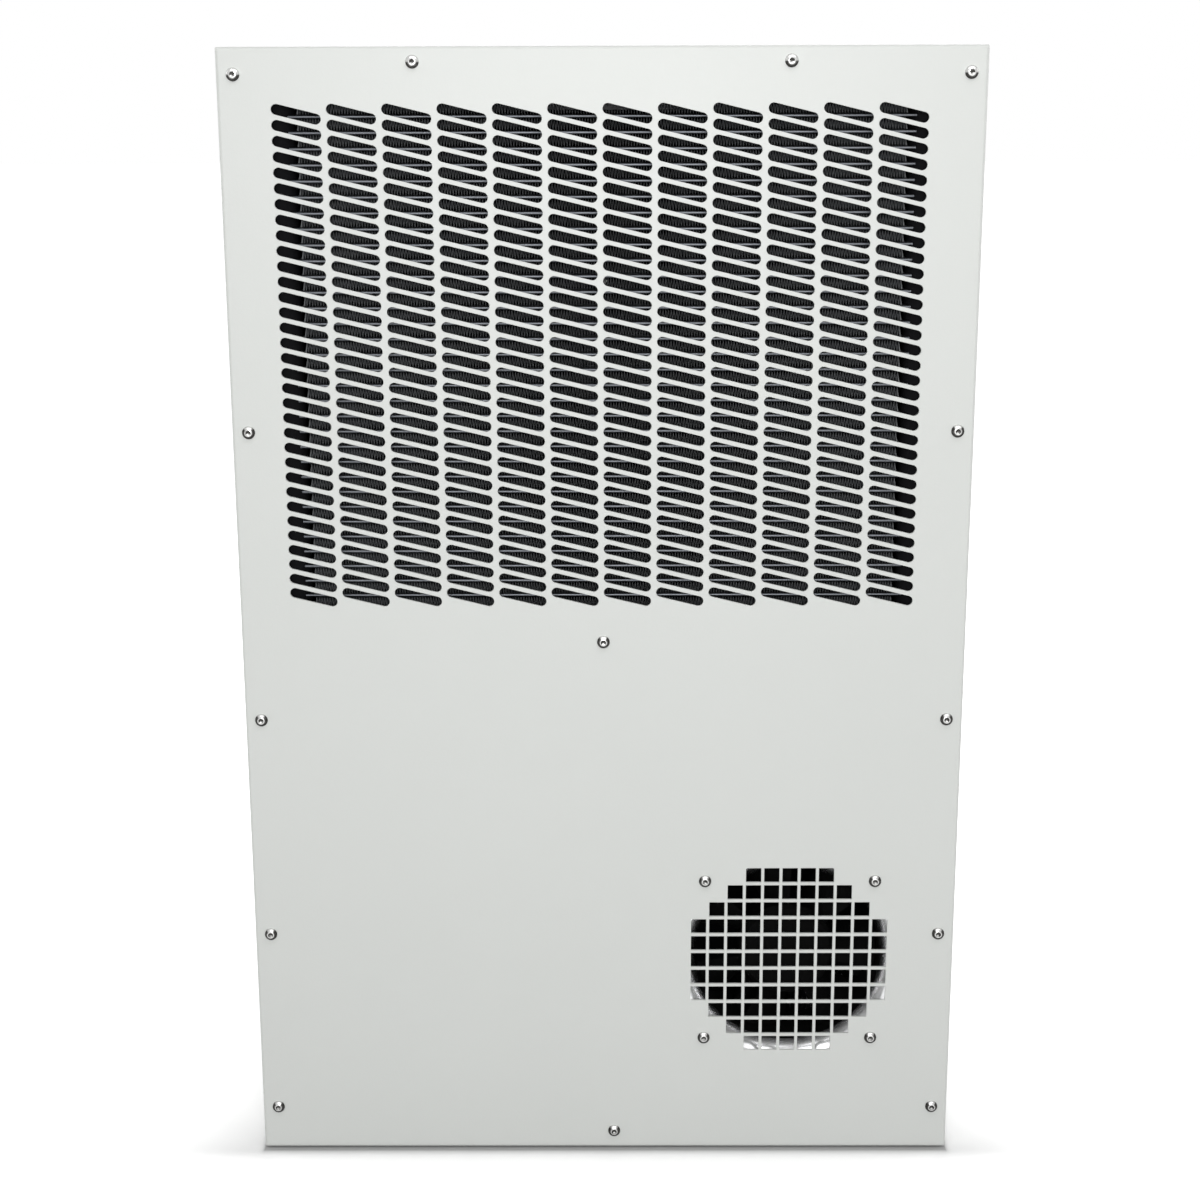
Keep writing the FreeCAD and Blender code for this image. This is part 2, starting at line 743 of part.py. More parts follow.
def fan_blade():
    root = fan_hub_radius - 2.0
    tip = fan_bore_radius + 2.0
    sections = []
    for radius, along, across, camber in ((root, 20.0, 16.0, 2.0), (tip, 17.0, 34.0, 3.0)):
        a = Vector(radius, -along / 2, -across / 2)
        b = Vector(radius, along / 2, across / 2)
        lift = Vector(0, -across, along).normalize()
        middle = (a + b) * 0.5
        upper = Part.Arc(a, middle + lift * (camber + 0.9), b).toShape()
        lower = Part.Arc(b, middle + lift * (camber - 0.9), a).toShape()
        sections.append(Part.Wire([upper, lower]))
    blade = Part.makeLoft(sections, True, True)
    limit = rod_y(0, -30, 30, 0, fan_bore_radius - blade_tip_clearance)
    return blade.common(limit)


def fan_rotor():
    y0 = fan_front + 5.0
    y1 = fan_front + 31.0
    r = fan_hub_radius
    body = turned_y([(0, y0), (r - 2.5, y0), (r, y0 + 2.5), (r, y1), (r - 2.5, y1), (r - 2.5, y0 + 2.5),
                     (2.0, y0 + 2.5), (2.0, fan_back - 5.0), (0, fan_back - 5.0)], 0, 0)
    blade = fan_blade()
    blade.translate(Vector(0, fan_front + 18.0, 0))
    blades = []
    for k in range(fan_blades):
        copy = blade.copy()
        copy.rotate(Vector(0, 0, 0), Vector(0, 1, 0), 360.0 * k / fan_blades)
        blades.append(copy)
    body = body.multiFuse(blades)
    body.translate(Vector(fan_x, 0, fan_z))
    return body


def fan_stator():
    core = rod_y(fan_x, fan_front + 15.0, fan_front + 28.0, fan_z, 22.0)
    for k in range(4):
        notch = block(10.0, 20.0, fan_front + 14.0, fan_front + 29.0, -3.0, 3.0)
        notch = notch.fuse(block(19.0, 23.0, fan_front + 14.0, fan_front + 29.0, -1.2, 1.2))
        notch.rotate(Vector(0, 0, 0), Vector(0, 1, 0), 90 * k)
        notch.translate(Vector(fan_x, 0, fan_z))
        core = core.cut(notch)
    return core.cut(rod_y(fan_x, fan_front, fan_back, fan_z, 7.0 + running_fit))


def bearing(x, z, y0, width, outer, inner):
    return rod_y(x, y0, y0 + width, z, outer).cut(rod_y(x, y0, y0 + width, z, inner))


def fan_bearings():
    inner = 2.0 + running_fit
    return Part.makeCompound([bearing(fan_x, fan_z, fan_front + 13.0, 4.0, 4.97, inner),
                              bearing(fan_x, fan_z, fan_front + 27.0, 4.0, 4.97, inner)])


def fan_nuts():
    y0 = fan_front + fan_plate
    nuts = []
    for x, z in fan_screw_places():
        nut = hexagon(x, y0, z, 7.0).extrude(Vector(0, fan_nut_height, 0))
        nuts.append(nut.cut(rod_y(x, y0 - 1, y0 + 5, z, nut_bore)))
    return Part.makeCompound(nuts)


def fan_screws():
    length = sheet + mouth_depth + fan_plate + fan_nut_height + 1.0
    return Part.makeCompound([button_screw(x, z, length) for x, z in fan_screw_places()])


# Compressor and refrigerant circuit

def foot_places():
    places = []
    for degrees in (90, 210, 330):
        angle = math.radians(degrees)
        places.append((compressor_x + foot_bolt_radius * math.cos(angle),
                       compressor_y + foot_bolt_radius * math.sin(angle)))
    return places


def compressor_foot():
    z0 = foot_z
    z1 = foot_z + foot_plate
    plate = rod_z(compressor_x, compressor_y, z0, z1, shell_radius - 7.0)
    for x, y in foot_places():
        plate = plate.fuse(rod_z(x, y, z0, z1, ear_radius))
        way = Vector(x - compressor_x, y - compressor_y, 0)
        arm = block(0, way.Length, -ear_radius, ear_radius, z0, z1)
        arm.rotate(Vector(0, 0, 0), Vector(0, 0, 1), math.degrees(math.atan2(way.y, way.x)))
        arm.translate(Vector(compressor_x, compressor_y, 0))
        plate = plate.fuse(arm)
    plate = plate.removeSplitter()
    for x, y in foot_places():
        plate = plate.cut(rod_z(x, y, z0 - 1, z1 + 1, 7.0))
    return plate


def compressor_shell():
    r = shell_radius
    z0 = shell_z
    z1 = shell_z + shell_height
    shell = rod_z(compressor_x, compressor_y, z0, z1, r)
    shell = shell.makeFillet(12.0, [e for e in shell.Edges if len(e.Vertexes) == 1])
    for z in (z0 + 26.0, z1 - 30.0):
        shell = shell.fuse(rod_z(compressor_x, compressor_y, z, z + 6.0, r + 0.8))
    shell = shell.fuse(rod_z(compressor_x, compressor_y, z1 - 5.0, z1 + 14.0, small_pipe + 2.0))
    stub = Part.makeCylinder(suction_pipe_radius + 2.0, r + 4.0, Vector(compressor_x, compressor_y, inlet_z),
                             Vector(1, 0, 0))
    return shell.fuse(stub).removeSplitter()


inlet_z = base_sheet + 40.0


def compressor_grommets():
    pieces = []
    for x, y in foot_places():
        pieces.append(turned_z([(3.2, base_sheet), (grommet_radius, base_sheet), (grommet_radius, foot_z - 3.0),
                                (grommet_radius - 1.5, foot_z), (6.8, foot_z), (6.8, shell_z), (9.5, shell_z),
                                (9.0, shell_z + 4.0), (3.2, shell_z + 4.0)], x, y))
    return Part.makeCompound(pieces)


def compressor_studs():
    pieces = []
    z = shell_z + 4.0
    for x, y in foot_places():
        nut = hexagon(0, 0, 0, 10.0).extrude(Vector(0, 5.0, 0))
        nut.rotate(Vector(0, 0, 0), Vector(1, 0, 0), 90)
        nut.translate(Vector(x, y, z + 1.5))
        stud = rod_z(x, y, base_sheet, z + 10.0, 3.0).fuse(rod_z(x, y, z, z + 1.5, 8.5)).fuse(nut)
        pieces.append(stud.removeSplitter())
    return Part.makeCompound(pieces)


def compressor_terminal_cover():
    z0 = shell_z + shell_height
    cap = rod_z(compressor_x - 22.0, compressor_y, z0, z0 + 18.0, 13.0)
    return cap.makeFillet(3.0, [e for e in cap.Edges if len(e.Vertexes) == 1 and e.Vertexes[0].Z > z0 + 1])


def accumulator():
    z0 = accumulator_z
    z1 = z0 + accumulator_height
    body = rod_z(accumulator_x, compressor_y, z0, z1, accumulator_radius)
    body = body.makeFillet(10.0, [e for e in body.Edges if len(e.Vertexes) == 1])
    return body.fuse(rod_z(accumulator_x, compressor_y, z1 - 2.0, z1 + 8.0, suction_pipe_radius + 2.0)).removeSplitter()


def accumulator_strap():
    z0 = accumulator_z + 50.0
    z1 = z0 + 14.0
    band = rod_z(accumulator_x, compressor_y, z0, z1, accumulator_radius + 1.2)
    tab = block(compressor_x, accumulator_x, compressor_y - 6.0, compressor_y + 6.0, z0, z1)
    band = band.fuse(tab)
    band = band.cut(rod_z(accumulator_x, compressor_y, z0 - 1, z1 + 1, accumulator_radius + running_fit))
    return band.cut(rod_z(compressor_x, compressor_y, z0 - 1, z1 + 1, shell_radius + running_fit)).removeSplitter()


def inlet_pipe():
    return bent_pipe([Vector(accumulator_x, compressor_y, accumulator_z), Vector(accumulator_x, compressor_y, inlet_z),
                      Vector(compressor_x + shell_radius + 4.0, compressor_y, inlet_z)],
                     suction_pipe_radius, bend_radius + 2.0)


def discharge_pipe():
    top = shell_z + shell_height + 14.0
    run = lower_height - 40.0
    x = -condenser_header_x
    return bent_pipe([Vector(compressor_x, compressor_y, top), Vector(compressor_x, compressor_y, run),
                      Vector(x, line_y, run), Vector(x, line_y, condenser_top - 25.0),
                      Vector(x, header_stub, condenser_top - 25.0)], small_pipe, bend_radius)


drier_top = lower_height - 45.0
drier_bottom = drier_top - 85.0
valve_top = drier_bottom - 20.0
valve_bottom = valve_top - 45.0


def liquid_pipe():
    x = condenser_header_x
    z = lower_height + 27.0
    run = lower_height - 15.0
    return bent_pipe([Vector(x, header_stub, z), Vector(x, line_y, z), Vector(x, line_y, run),
                      Vector(line_x, line_y, run), Vector(line_x, line_y, drier_top)], small_pipe, bend_radius)


def filter_drier():
    neck = small_pipe + 1.5
    return turned_z([(0, drier_bottom), (neck, drier_bottom), (neck, drier_bottom + 6.0), (10.0, drier_bottom + 16.0),
                     (10.0, drier_top - 16.0), (neck, drier_top - 6.0), (neck, drier_top), (0, drier_top)],
                    line_x, line_y)


def drier_outlet_pipe():
    return rod_z(line_x, line_y, valve_top, drier_bottom, small_pipe)


def expansion_valve():
    z0 = valve_bottom
    z1 = valve_top
    body = turned_z([(0, z0), (small_pipe + 1.5, z0), (small_pipe + 1.5, z0 + 6.0), (9.0, z0 + 8.0), (9.0, z1 - 8.0),
                     (small_pipe + 1.5, z1 - 6.0), (small_pipe + 1.5, z1), (0, z1)], line_x, line_y)
    z = (z0 + z1) / 2
    head = rod_y(line_x, line_y, line_y + 16.0, z, 7.0).fuse(rod_y(line_x, line_y + 16.0, line_y + 22.0, z, 12.0))
    return body.fuse(head).removeSplitter()


def expansion_pipe():
    return bent_pipe([Vector(line_x, line_y, valve_bottom), Vector(line_x, line_y, expansion_z),
                      Vector(line_x, plenum_pipe_y, expansion_z), Vector(evaporator_header_x, plenum_pipe_y, expansion_z),
                      Vector(evaporator_header_x, evaporator_stub, expansion_z)], small_pipe, bend_radius)


def suction_pipe():
    x = -evaporator_header_x
    top = accumulator_z + accumulator_height + 8.0
    return bent_pipe([Vector(x, evaporator_stub, suction_z), Vector(x, plenum_pipe_y, suction_z),
                      Vector(accumulator_x, plenum_pipe_y, suction_z), Vector(accumulator_x, compressor_y, suction_z),
                      Vector(accumulator_x, compressor_y, top)], suction_pipe_radius, bend_radius)


# Drip tray, drain and the plate that closes the space over the evaporator

def drip_tray():
    z0 = tray_bottom
    z1 = z0 + tray_height
    w = tray_wall
    tray = block(-tray_half, tray_half, tray_front, tray_back, z0, z1)
    tray = tray.cut(block(-tray_half + w, tray_half - w, tray_front + w, tray_back - w, z0 + w, z1 + 1))
    for x in (-100.0, 100.0):
        rib = block(x - 4.0, x + 4.0, y_evaporator - 2.0, y_evaporator + core_depth + 2.0, z0 + w, evaporator_bottom)
        tray = tray.fuse(rib)
    for x in (-100.0, 60.0):
        tray = tray.fuse(block(x - 20.0, x + 20.0, drain_y - 18.0, drain_y + 18.0, base_sheet, z0))
    return tray.removeSplitter().cut(rod_z(drain_x, drain_y, z0 - 1, z0 + w + 1, drain_radius + 0.1))


def drain_spout():
    r = drain_radius
    bore = r - 1.5
    top = tray_bottom + tray_wall
    return turned_z([(bore, 1.0), (r - 0.5, 1.0), (r + 0.8, 3.0), (r, 3.2), (r, 5.0), (r + 0.8, 6.5), (r, 6.7),
                     (r, recess_height - 2.0), (r + 4.0, recess_height - 2.0), (r + 4.0, recess_height),
                     (r, recess_height), (r, top), (bore, top)], drain_x, drain_y)


def evaporator_baffle():
    half = frame_half - rear_flange - 1.0
    z0 = evaporator_top
    plate = block(-half, half, y_evaporator, y_rear, z0, z0 + sheet)
    return plate.fuse(block(-half, half, y_rear - sheet, y_rear, z0, z0 + 14.0)).removeSplitter()


# Blower on the cabinet side

blower_shaft = 4.0


def motor_screw_places():
    return [(34.0 * i, blower_z + 34.0 * j) for i, j in ((0, 1), (1, 0), (0, -1), (-1, 0))]


def blower_stator():
    y = y_blower
    body = turned_y([(7.0, y + 3.0), (7.0, y + 38.0), (motor_radius, y + 38.0), (motor_radius, y + 14.0),
                     (26.0, y + 14.0), (26.0, y + 4.0), (42.0, y + 4.0), (42.0, y), (0, y), (0, y + 3.0)], 0, blower_z)
    return body.cut(holes_y(motor_screw_places(), screw_radius + running_fit, y - 1, y + 9.0))


def blower_screws():
    screws = []
    for x, z in motor_screw_places():
        screws.append(turned_y([(0, y_upper_wall - 2.2), (2.4, y_upper_wall - 2.2), (3.8, y_upper_wall - 1.0),
                                (3.8, y_upper_wall), (screw_radius, y_upper_wall), (screw_radius, y_blower + 4.0),
                                (0, y_blower + 4.0)], x, z))
    return Part.makeCompound(screws)


def blower_bearings():
    inner = blower_shaft + running_fit
    return Part.makeCompound([bearing(0, blower_z, y_blower + 8.0, 6.0, 6.97, inner),
                              bearing(0, blower_z, y_blower + 31.0, 6.0, 6.97, inner)])


def blower_rotor():
    y = y_blower
    r = rotor_radius
    return turned_y([(0, y + 6.0), (blower_shaft, y + 6.0), (blower_shaft, y + 44.0), (r - 5.0, y + 44.0),
                     (r - 5.0, y + 12.0), (r, y + 12.0), (r, y + 22.0), (r + 11.0, y + 22.0), (r + 11.0, y + 24.0),
                     (r, y + 24.0), (r, y + 44.0), (r - 4.0, y + 48.0), (0, y + 48.0)], 0, blower_z)


def shroud_outline(inner, outer):
    # curved shroud from the inlet to the rim, between two offsets
    y = y_blower
    a = [Vector(inlet_radius + outer, y + 96.0, 0), Vector(inlet_radius + 10.0 + outer, y + 83.0 + outer, 0),
         Vector(impeller_radius, y + 77.0 + outer, 0)]
    b = [Vector(inlet_radius + inner, y + 96.0, 0), Vector(inlet_radius + 10.0 + inner, y + 83.0 + inner, 0),
         Vector(impeller_radius, y + 77.0 + inner, 0)]
    return a, b


def blower_impeller():
    y = y_blower
    a, b = shroud_outline(0.0, 2.0)
    rim = Part.Wire([Part.Arc(a[0], a[1], a[2]).toShape(), Part.LineSegment(a[2], b[2]).toShape(),
                     Part.Arc(b[2], b[1], b[0]).toShape(), Part.LineSegment(b[0], a[0]).toShape()])
    shroud = Part.Face(rim).revolve(Vector(0, 0, 0), Vector(0, 1, 0), 360)
    c, d = shroud_outline(1.0, 1.0)
    space = Part.Wire([Part.Arc(c[0], c[1], c[2]).toShape()] + Part.makePolygon([
        c[2], Vector(impeller_radius, y + 25.0, 0), Vector(40.0, y + 25.0, 0), Vector(40.0, y + 86.0, 0),
        Vector(inlet_radius, y + 86.0, 0), c[0]]).Edges)
    limit = Part.Face(space).revolve(Vector(0, 0, 0), Vector(0, 1, 0), 360)
    plate = turned_y([(rotor_radius + seat_gap, y + 24.0), (impeller_radius, y + 24.0), (impeller_radius, y + 26.0),
                      (rotor_radius + seat_gap, y + 26.0)], 0, 0)
    blade_outer = Part.Arc(Vector(60.0, y, 0), Vector(83.0, y, 14.0), Vector(93.0, y, 42.0)).toShape()
    blade_inner = Part.Arc(Vector(93.0, y, 44.5), Vector(81.5, y, 15.5), Vector(60.0, y, 2.0)).toShape()
    outline = Part.Wire([blade_outer, Part.makeLine(Vector(93.0, y, 42.0), Vector(93.0, y, 44.5)), blade_inner,
                         Part.makeLine(Vector(60.0, y, 2.0), Vector(60.0, y, 0))])
    blade = Part.Face(outline).extrude(Vector(0, 110.0, 0)).common(limit)
    blades = []
    for k in range(blower_blades):
        copy = blade.copy()
        copy.rotate(Vector(0, 0, 0), Vector(0, 1, 0), 360.0 * k / blower_blades)
        blades.append(copy)
    body = plate.multiFuse(blades + [shroud])
    body.translate(Vector(0, 0, blower_z))
    return body


def inlet_ring():
    r = inlet_radius - 2.0
    y0 = y_blower + 92.0
    flare = [Vector(r, y0 + 14.0, 0), Vector(r + 7.0, y_rear - 11.0, 0), Vector(r + 26.0, y_rear - sheet, 0)]
    lining = [Vector(r + 26.0, y_rear, 0), Vector(r + 5.5, y_rear - 10.0, 0), Vector(r - sheet, y0 + 14.0, 0)]
    edges = [Part.Arc(flare[0], flare[1], flare[2]).toShape()]
    edges += Part.makePolygon([flare[2], Vector(r + 40.0, y_rear - sheet, 0), Vector(r + 40.0, y_rear, 0),
                               lining[0]]).Edges
    edges.append(Part.Arc(lining[0], lining[1], lining[2]).toShape())
    edges += Part.makePolygon([lining[2], Vector(r - sheet, y0, 0), Vector(r, y0, 0), flare[0]]).Edges
    ring = Part.Face(Part.Wire(edges)).revolve(Vector(0, 0, 0), Vector(0, 1, 0), 360)
    ring.translate(Vector(0, 0, blower_z))
    return ring


# Controls

box_x = frame_half - box_width - 14.0
box_z = lower_height - box_height - 25.0
box_y = y_lower_wall - box_depth


def control_box():
    t = box_sheet
    x1 = box_x + box_width
    z1 = box_z + box_height
    box = block(box_x, x1, box_y, y_lower_wall, box_z, z1)
    box = box.cut(block(box_x + t, x1 - t, box_y - 1, y_lower_wall - t, box_z + t, z1 - t))
    for x in (box_x + 12.0, x1 - 42.0):
        for z in (box_z + 30.0, z1 - 12.0):
            box = box.fuse(rod_y(x, y_lower_wall - t - 8.0, y_lower_wall - t, z, 3.0))
    return box.removeSplitter()


def control_box_lid():
    t = box_sheet
    gap = seat_gap
    lid = block(box_x - t - gap, box_x + box_width + t + gap, box_y - t, box_y + 10.0,
                box_z - t - gap, box_z + box_height + t + gap)
    return lid.cut(block(box_x - gap, box_x + box_width + gap, box_y, box_y + 11.0,
                         box_z - gap, box_z + box_height + gap))


def control_board():
    y1 = y_lower_wall - box_sheet - 8.0
    y0 = y1 - 1.6
    x0 = box_x + 6.0
    x1 = box_x + box_width - 36.0
    z0 = box_z + 24.0
    z1 = box_z + box_height - 6.0
    board = block(x0, x1, y0, y1, z0, z1)
    for k in range(3):
        board = board.fuse(block(x0 + 12.0 + 24.0 * k, x0 + 30.0 + 24.0 * k, y0 - 14.0, y0, z0 + 10.0, z0 + 32.0))
    board = board.fuse(block(x0 + 14.0, x0 + 34.0, y0 - 3.0, y0, z0 + 46.0, z0 + 66.0))
    board = board.fuse(rod_y(x1 - 22.0, y0 - 22.0, y0, z0 + 56.0, 9.0))
    return board.removeSplitter()


def terminal_block():
    y1 = y_lower_wall - box_sheet
    x0 = box_x + box_width - 32.0
    body = block(x0, x0 + 22.0, y1 - 16.0, y1, box_z + 20.0, box_z + 100.0)
    for k in range(7):
        z = box_z + 26.0 + 11.0 * k
        body = body.cut(block(x0 - 1, x0 + 7.0, y1 - 17.0, y1 - 8.0, z - 3.5, z + 3.5))
        body = body.cut(rod_y(x0 + 14.0, y1 - 17.0, y1 - 10.0, z, 3.0))
    return body


def run_capacitor():
    x = fan_x + 30.0
    y = y_lower_wall - 35.0
    can = rod_z(x, y, base_sheet, base_sheet + 70.0, 20.0)
    can = can.makeFillet(2.0, [e for e in can.Edges if len(e.Vertexes) == 1 and e.Vertexes[0].Z > base_sheet + 1])
    for dx in (-8.0, 8.0):
        can = can.fuse(block(x + dx - 3.0, x + dx + 3.0, y - 0.5, y + 0.5, base_sheet + 69.0, base_sheet + 78.0))
    return can.removeSplitter()


pieces = {
    "front_cover": front_cover,
    "cover_screws": cover_screws,
    "cover_nuts": lambda: Part.makeCompound([cover_nuts(), fan_nuts()]),
    "front_frame": front_frame,
    "left_side_panel": lambda: side_panel(-1),
    "right_side_panel": lambda: side_panel(1),
    "top_panel": top_panel,
    "base_pan": base_pan,
    "rear_panel": rear_panel,
    "rear_screws": rear_screws,
    "mounting_inserts": mounting_inserts,
    "mounting_gasket": mounting_gasket,
    "cable_grommet": cable_grommet,
    "partition": partition,
    "partition_insulation": partition_insulation,
    "pipe_grommets": pipe_grommets,
    "cross_rail": cross_rail,
    "top_rail": top_rail,
    "condenser_tubes": lambda: flat_tubes(condenser_header_x, y_condenser, lower_height, condenser_count, 0.0),
    "condenser_fins": lambda: fins(condenser_header_x, y_condenser, lower_height, condenser_count),
    "condenser_headers": lambda: Part.makeCompound([condenser_header(-1), condenser_header(1)]),
    "condenser_side_plates": lambda: side_plates(condenser_header_x, y_condenser, lower_height, condenser_count),
    "fan_inlet_ring": fan_inlet_ring,
    "fan_frame": fan_frame,
    "fan_rotor": fan_rotor,
    "fan_stator": fan_stator,
    "fan_bearings": fan_bearings,
    "fan_screws": fan_screws,
    "compressor_shell": compressor_shell,
    "compressor_foot": compressor_foot,
    "compressor_grommets": compressor_grommets,
    "compressor_studs": compressor_studs,
    "compressor_terminal_cover": compressor_terminal_cover,
    "accumulator": accumulator,
    "accumulator_strap": accumulator_strap,
    "inlet_pipe": inlet_pipe,
    "discharge_pipe": discharge_pipe,
    "liquid_pipe": liquid_pipe,
    "filter_drier": filter_drier,
    "expansion_valve": expansion_valve,
    "expansion_pipes": lambda: Part.makeCompound([drier_outlet_pipe(), expansion_pipe()]),
    "suction_pipe": suction_pipe,
    "evaporator_tubes": lambda: flat_tubes(evaporator_header_x, y_evaporator, evaporator_bottom, evaporator_count, 0.0),
    "evaporator_fins": lambda: fins(evaporator_header_x, y_evaporator, evaporator_bottom, evaporator_count),
    "evaporator_headers": lambda: Part.makeCompound([evaporator_header(-1), evaporator_header(1)]),
    "evaporator_side_plates": lambda: side_plates(evaporator_header_x, y_evaporator, evaporator_bottom,
                                                  evaporator_count),
    "evaporator_baffle": evaporator_baffle,
    "drip_tray": drip_tray,
    "drain_spout": drain_spout,
    "blower_stator": blower_stator,
    "blower_screws": blower_screws,
    "blower_bearings": blower_bearings,
    "blower_rotor": blower_rotor,
    "blower_impeller": blower_impeller,
    "inlet_ring": inlet_ring,
    "control_box": control_box,
    "control_box_lid": control_box_lid,
    "control_board": control_board,
    "terminal_block": terminal_block,
    "run_capacitor": run_capacitor,
}

for name, make in pieces.items():
    save(name, make())
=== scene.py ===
import json
import math
import bmesh
import bpy
from mathutils import Euler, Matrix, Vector


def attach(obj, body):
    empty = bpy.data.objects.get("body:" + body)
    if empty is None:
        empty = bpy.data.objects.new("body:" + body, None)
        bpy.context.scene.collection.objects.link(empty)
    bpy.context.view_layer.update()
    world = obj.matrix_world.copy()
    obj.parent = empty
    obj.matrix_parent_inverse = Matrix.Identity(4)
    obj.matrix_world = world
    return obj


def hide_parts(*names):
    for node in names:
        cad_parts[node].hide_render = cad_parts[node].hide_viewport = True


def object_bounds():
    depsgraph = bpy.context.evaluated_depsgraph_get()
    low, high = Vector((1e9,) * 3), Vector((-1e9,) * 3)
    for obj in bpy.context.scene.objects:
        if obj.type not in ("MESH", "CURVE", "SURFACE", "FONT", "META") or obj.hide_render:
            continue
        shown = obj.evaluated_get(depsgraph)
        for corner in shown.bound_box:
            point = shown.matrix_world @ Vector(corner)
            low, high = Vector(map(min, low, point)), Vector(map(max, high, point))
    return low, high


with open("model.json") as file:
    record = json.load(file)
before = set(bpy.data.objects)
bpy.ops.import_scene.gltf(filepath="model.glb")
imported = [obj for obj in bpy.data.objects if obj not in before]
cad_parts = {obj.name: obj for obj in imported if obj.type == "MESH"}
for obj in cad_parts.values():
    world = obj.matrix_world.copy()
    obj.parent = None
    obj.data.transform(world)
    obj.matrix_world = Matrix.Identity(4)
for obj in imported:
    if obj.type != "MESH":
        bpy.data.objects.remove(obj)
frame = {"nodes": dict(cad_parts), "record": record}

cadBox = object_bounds()
nodes = frame["nodes"]
print("frame loaded with", len(nodes), "nodes")


class Wire:
    # a socket in a node tree; sums on it add Math nodes
    def __init__(self, tree, socket=None):
        self.tree = tree
        self.socket = socket

    def node(self, kind, settings=None, sockets=None, out=0):
        made = self.tree.nodes.new(kind)
        for name, value in (settings or {}).items():
            setattr(made, name, value)
        for key, value in (sockets or {}).items():
            if isinstance(value, Wire):
                self.tree.links.new(value.socket, made.inputs[key])
            else:
                made.inputs[key].default_value = value
        return Wire(self.tree, made.outputs[out] if len(made.outputs) else None)

    def maths(self, operation, first, second=0.0):
        return self.node("ShaderNodeMath", {"operation": operation}, {0: first, 1: second})

    def __add__(self, other):
        return self.maths("ADD", self, other)

    def __radd__(self, other):
        return self.maths("ADD", other, self)

    def __sub__(self, other):
        return self.maths("SUBTRACT", self, other)

    def __rsub__(self, other):
        return self.maths("SUBTRACT", other, self)

    def __mul__(self, other):
        return self.maths("MULTIPLY", self, other)

    def __rmul__(self, other):
        return self.maths("MULTIPLY", other, self)

    def __truediv__(self, other):
        return self.maths("DIVIDE", self, other)


# materials

def startMaterial(name, fixed):
    material = bpy.data.materials.new(name)
    material.use_nodes = True
    tree = material.node_tree
    shader = tree.nodes["Principled BSDF"]
    for key, value in fixed.items():
        shader.inputs[key].default_value = value
    wire = Wire(tree)
    place = wire.node("ShaderNodeTexCoord", out="Object")
    return material, shader, wire, place


def feed(wire, shader, **links):
    for key, value in links.items():
        wire.tree.links.new(value.socket, shader.inputs[key.replace("_", " ")])


def blend(wire, factor, first, second):
    return wire.node("ShaderNodeMix", {"data_type": "RGBA"}, {0: factor, 6: first, 7: second}, out=2)


def shades(wire, factor, dark, light):
    return blend(wire, factor, (*dark, 1), (*light, 1))


def noise(wire, place, scale, detail=2.0, roughness=0.5):
    return wire.node("ShaderNodeTexNoise", None,
                     {"Vector": place, "Scale": scale, "Detail": detail, "Roughness": roughness}, out="Fac")


def ramp(wire, value, span, results=(0.0, 1.0)):
    return wire.node("ShaderNodeMapRange", None, {
        "Value": value, "From Min": span[0], "From Max": span[1], "To Min": results[0], "To Max": results[1]})


def bump(wire, height, distance, strength=1.0, edge=0.0):
    sockets = {"Height": height, "Distance": distance, "Strength": strength}
    if edge:  # sheet edges are never knife sharp
        sockets["Normal"] = wire.node("ShaderNodeBevel", {"samples": 4}, {"Radius": edge})
    return wire.node("ShaderNodeBump", None, sockets, out="Normal")


powderCoat = {
    "light": (0.700, 0.716, 0.694), "dark": (0.655, 0.674, 0.650),
    "peelScale": 620.0, "speckScale": 2600.0, "peelDepth": 0.00006, "roughness": 0.46, "edge": 0.0005,
}


def makePowderCoat(name):
    p = powderCoat
    material, shader, wire, place = startMaterial(name, {"Coat Roughness": 0.35, "Coat Weight": 0.12})
    peel = noise(wire, place, p["peelScale"], 1.5)
    speck = noise(wire, place, p["speckScale"], 1.0)
    cloud = noise(wire, place, 9.0, 3.0, 0.6)
    tone = cloud * 0.55 + speck * 0.45
    feed(wire, shader,
         Base_Color=shades(wire, tone, p["dark"], p["light"]),
         Roughness=p["roughness"] + (peel - 0.5) * 0.16 + (cloud - 0.5) * 0.08,
         Normal=bump(wire, peel * 0.75 + speck * 0.25, p["peelDepth"], 0.8, p["edge"]))
    return material


def makeMetal(name, dark, light, roughness, grainScale, grainStretch, depth):
    # drawn, plated or cast metal: long grain where grainStretch is not even
    material, shader, wire, place = startMaterial(name, {"Metallic": 1.0})
    grainPlace = wire.node("ShaderNodeMapping", None, {"Vector": place, "Scale": grainStretch}, out=0)
    grain = noise(wire, grainPlace, grainScale, 3.0, 0.6)
    stain = noise(wire, place, 35.0, 4.0, 0.65)
    feed(wire, shader,
         Base_Color=shades(wire, grain * 0.5 + stain * 0.5, dark, light),
         Roughness=roughness + (grain - 0.5) * 0.22 + (stain - 0.5) * 0.18,
         Normal=bump(wire, grain, depth, 0.6))
    return material


spunRing = {  # radii round the fan's axis where the painted shade ends and the bright lip begins
    "axis": (0.115, 0.0, 0.1295), "fullShade": 0.0574, "unshaded": 0.0616,
    "dustAndShade": (0.05, 0.05, 0.052), "bright": (0.82, 0.82, 0.83),
}


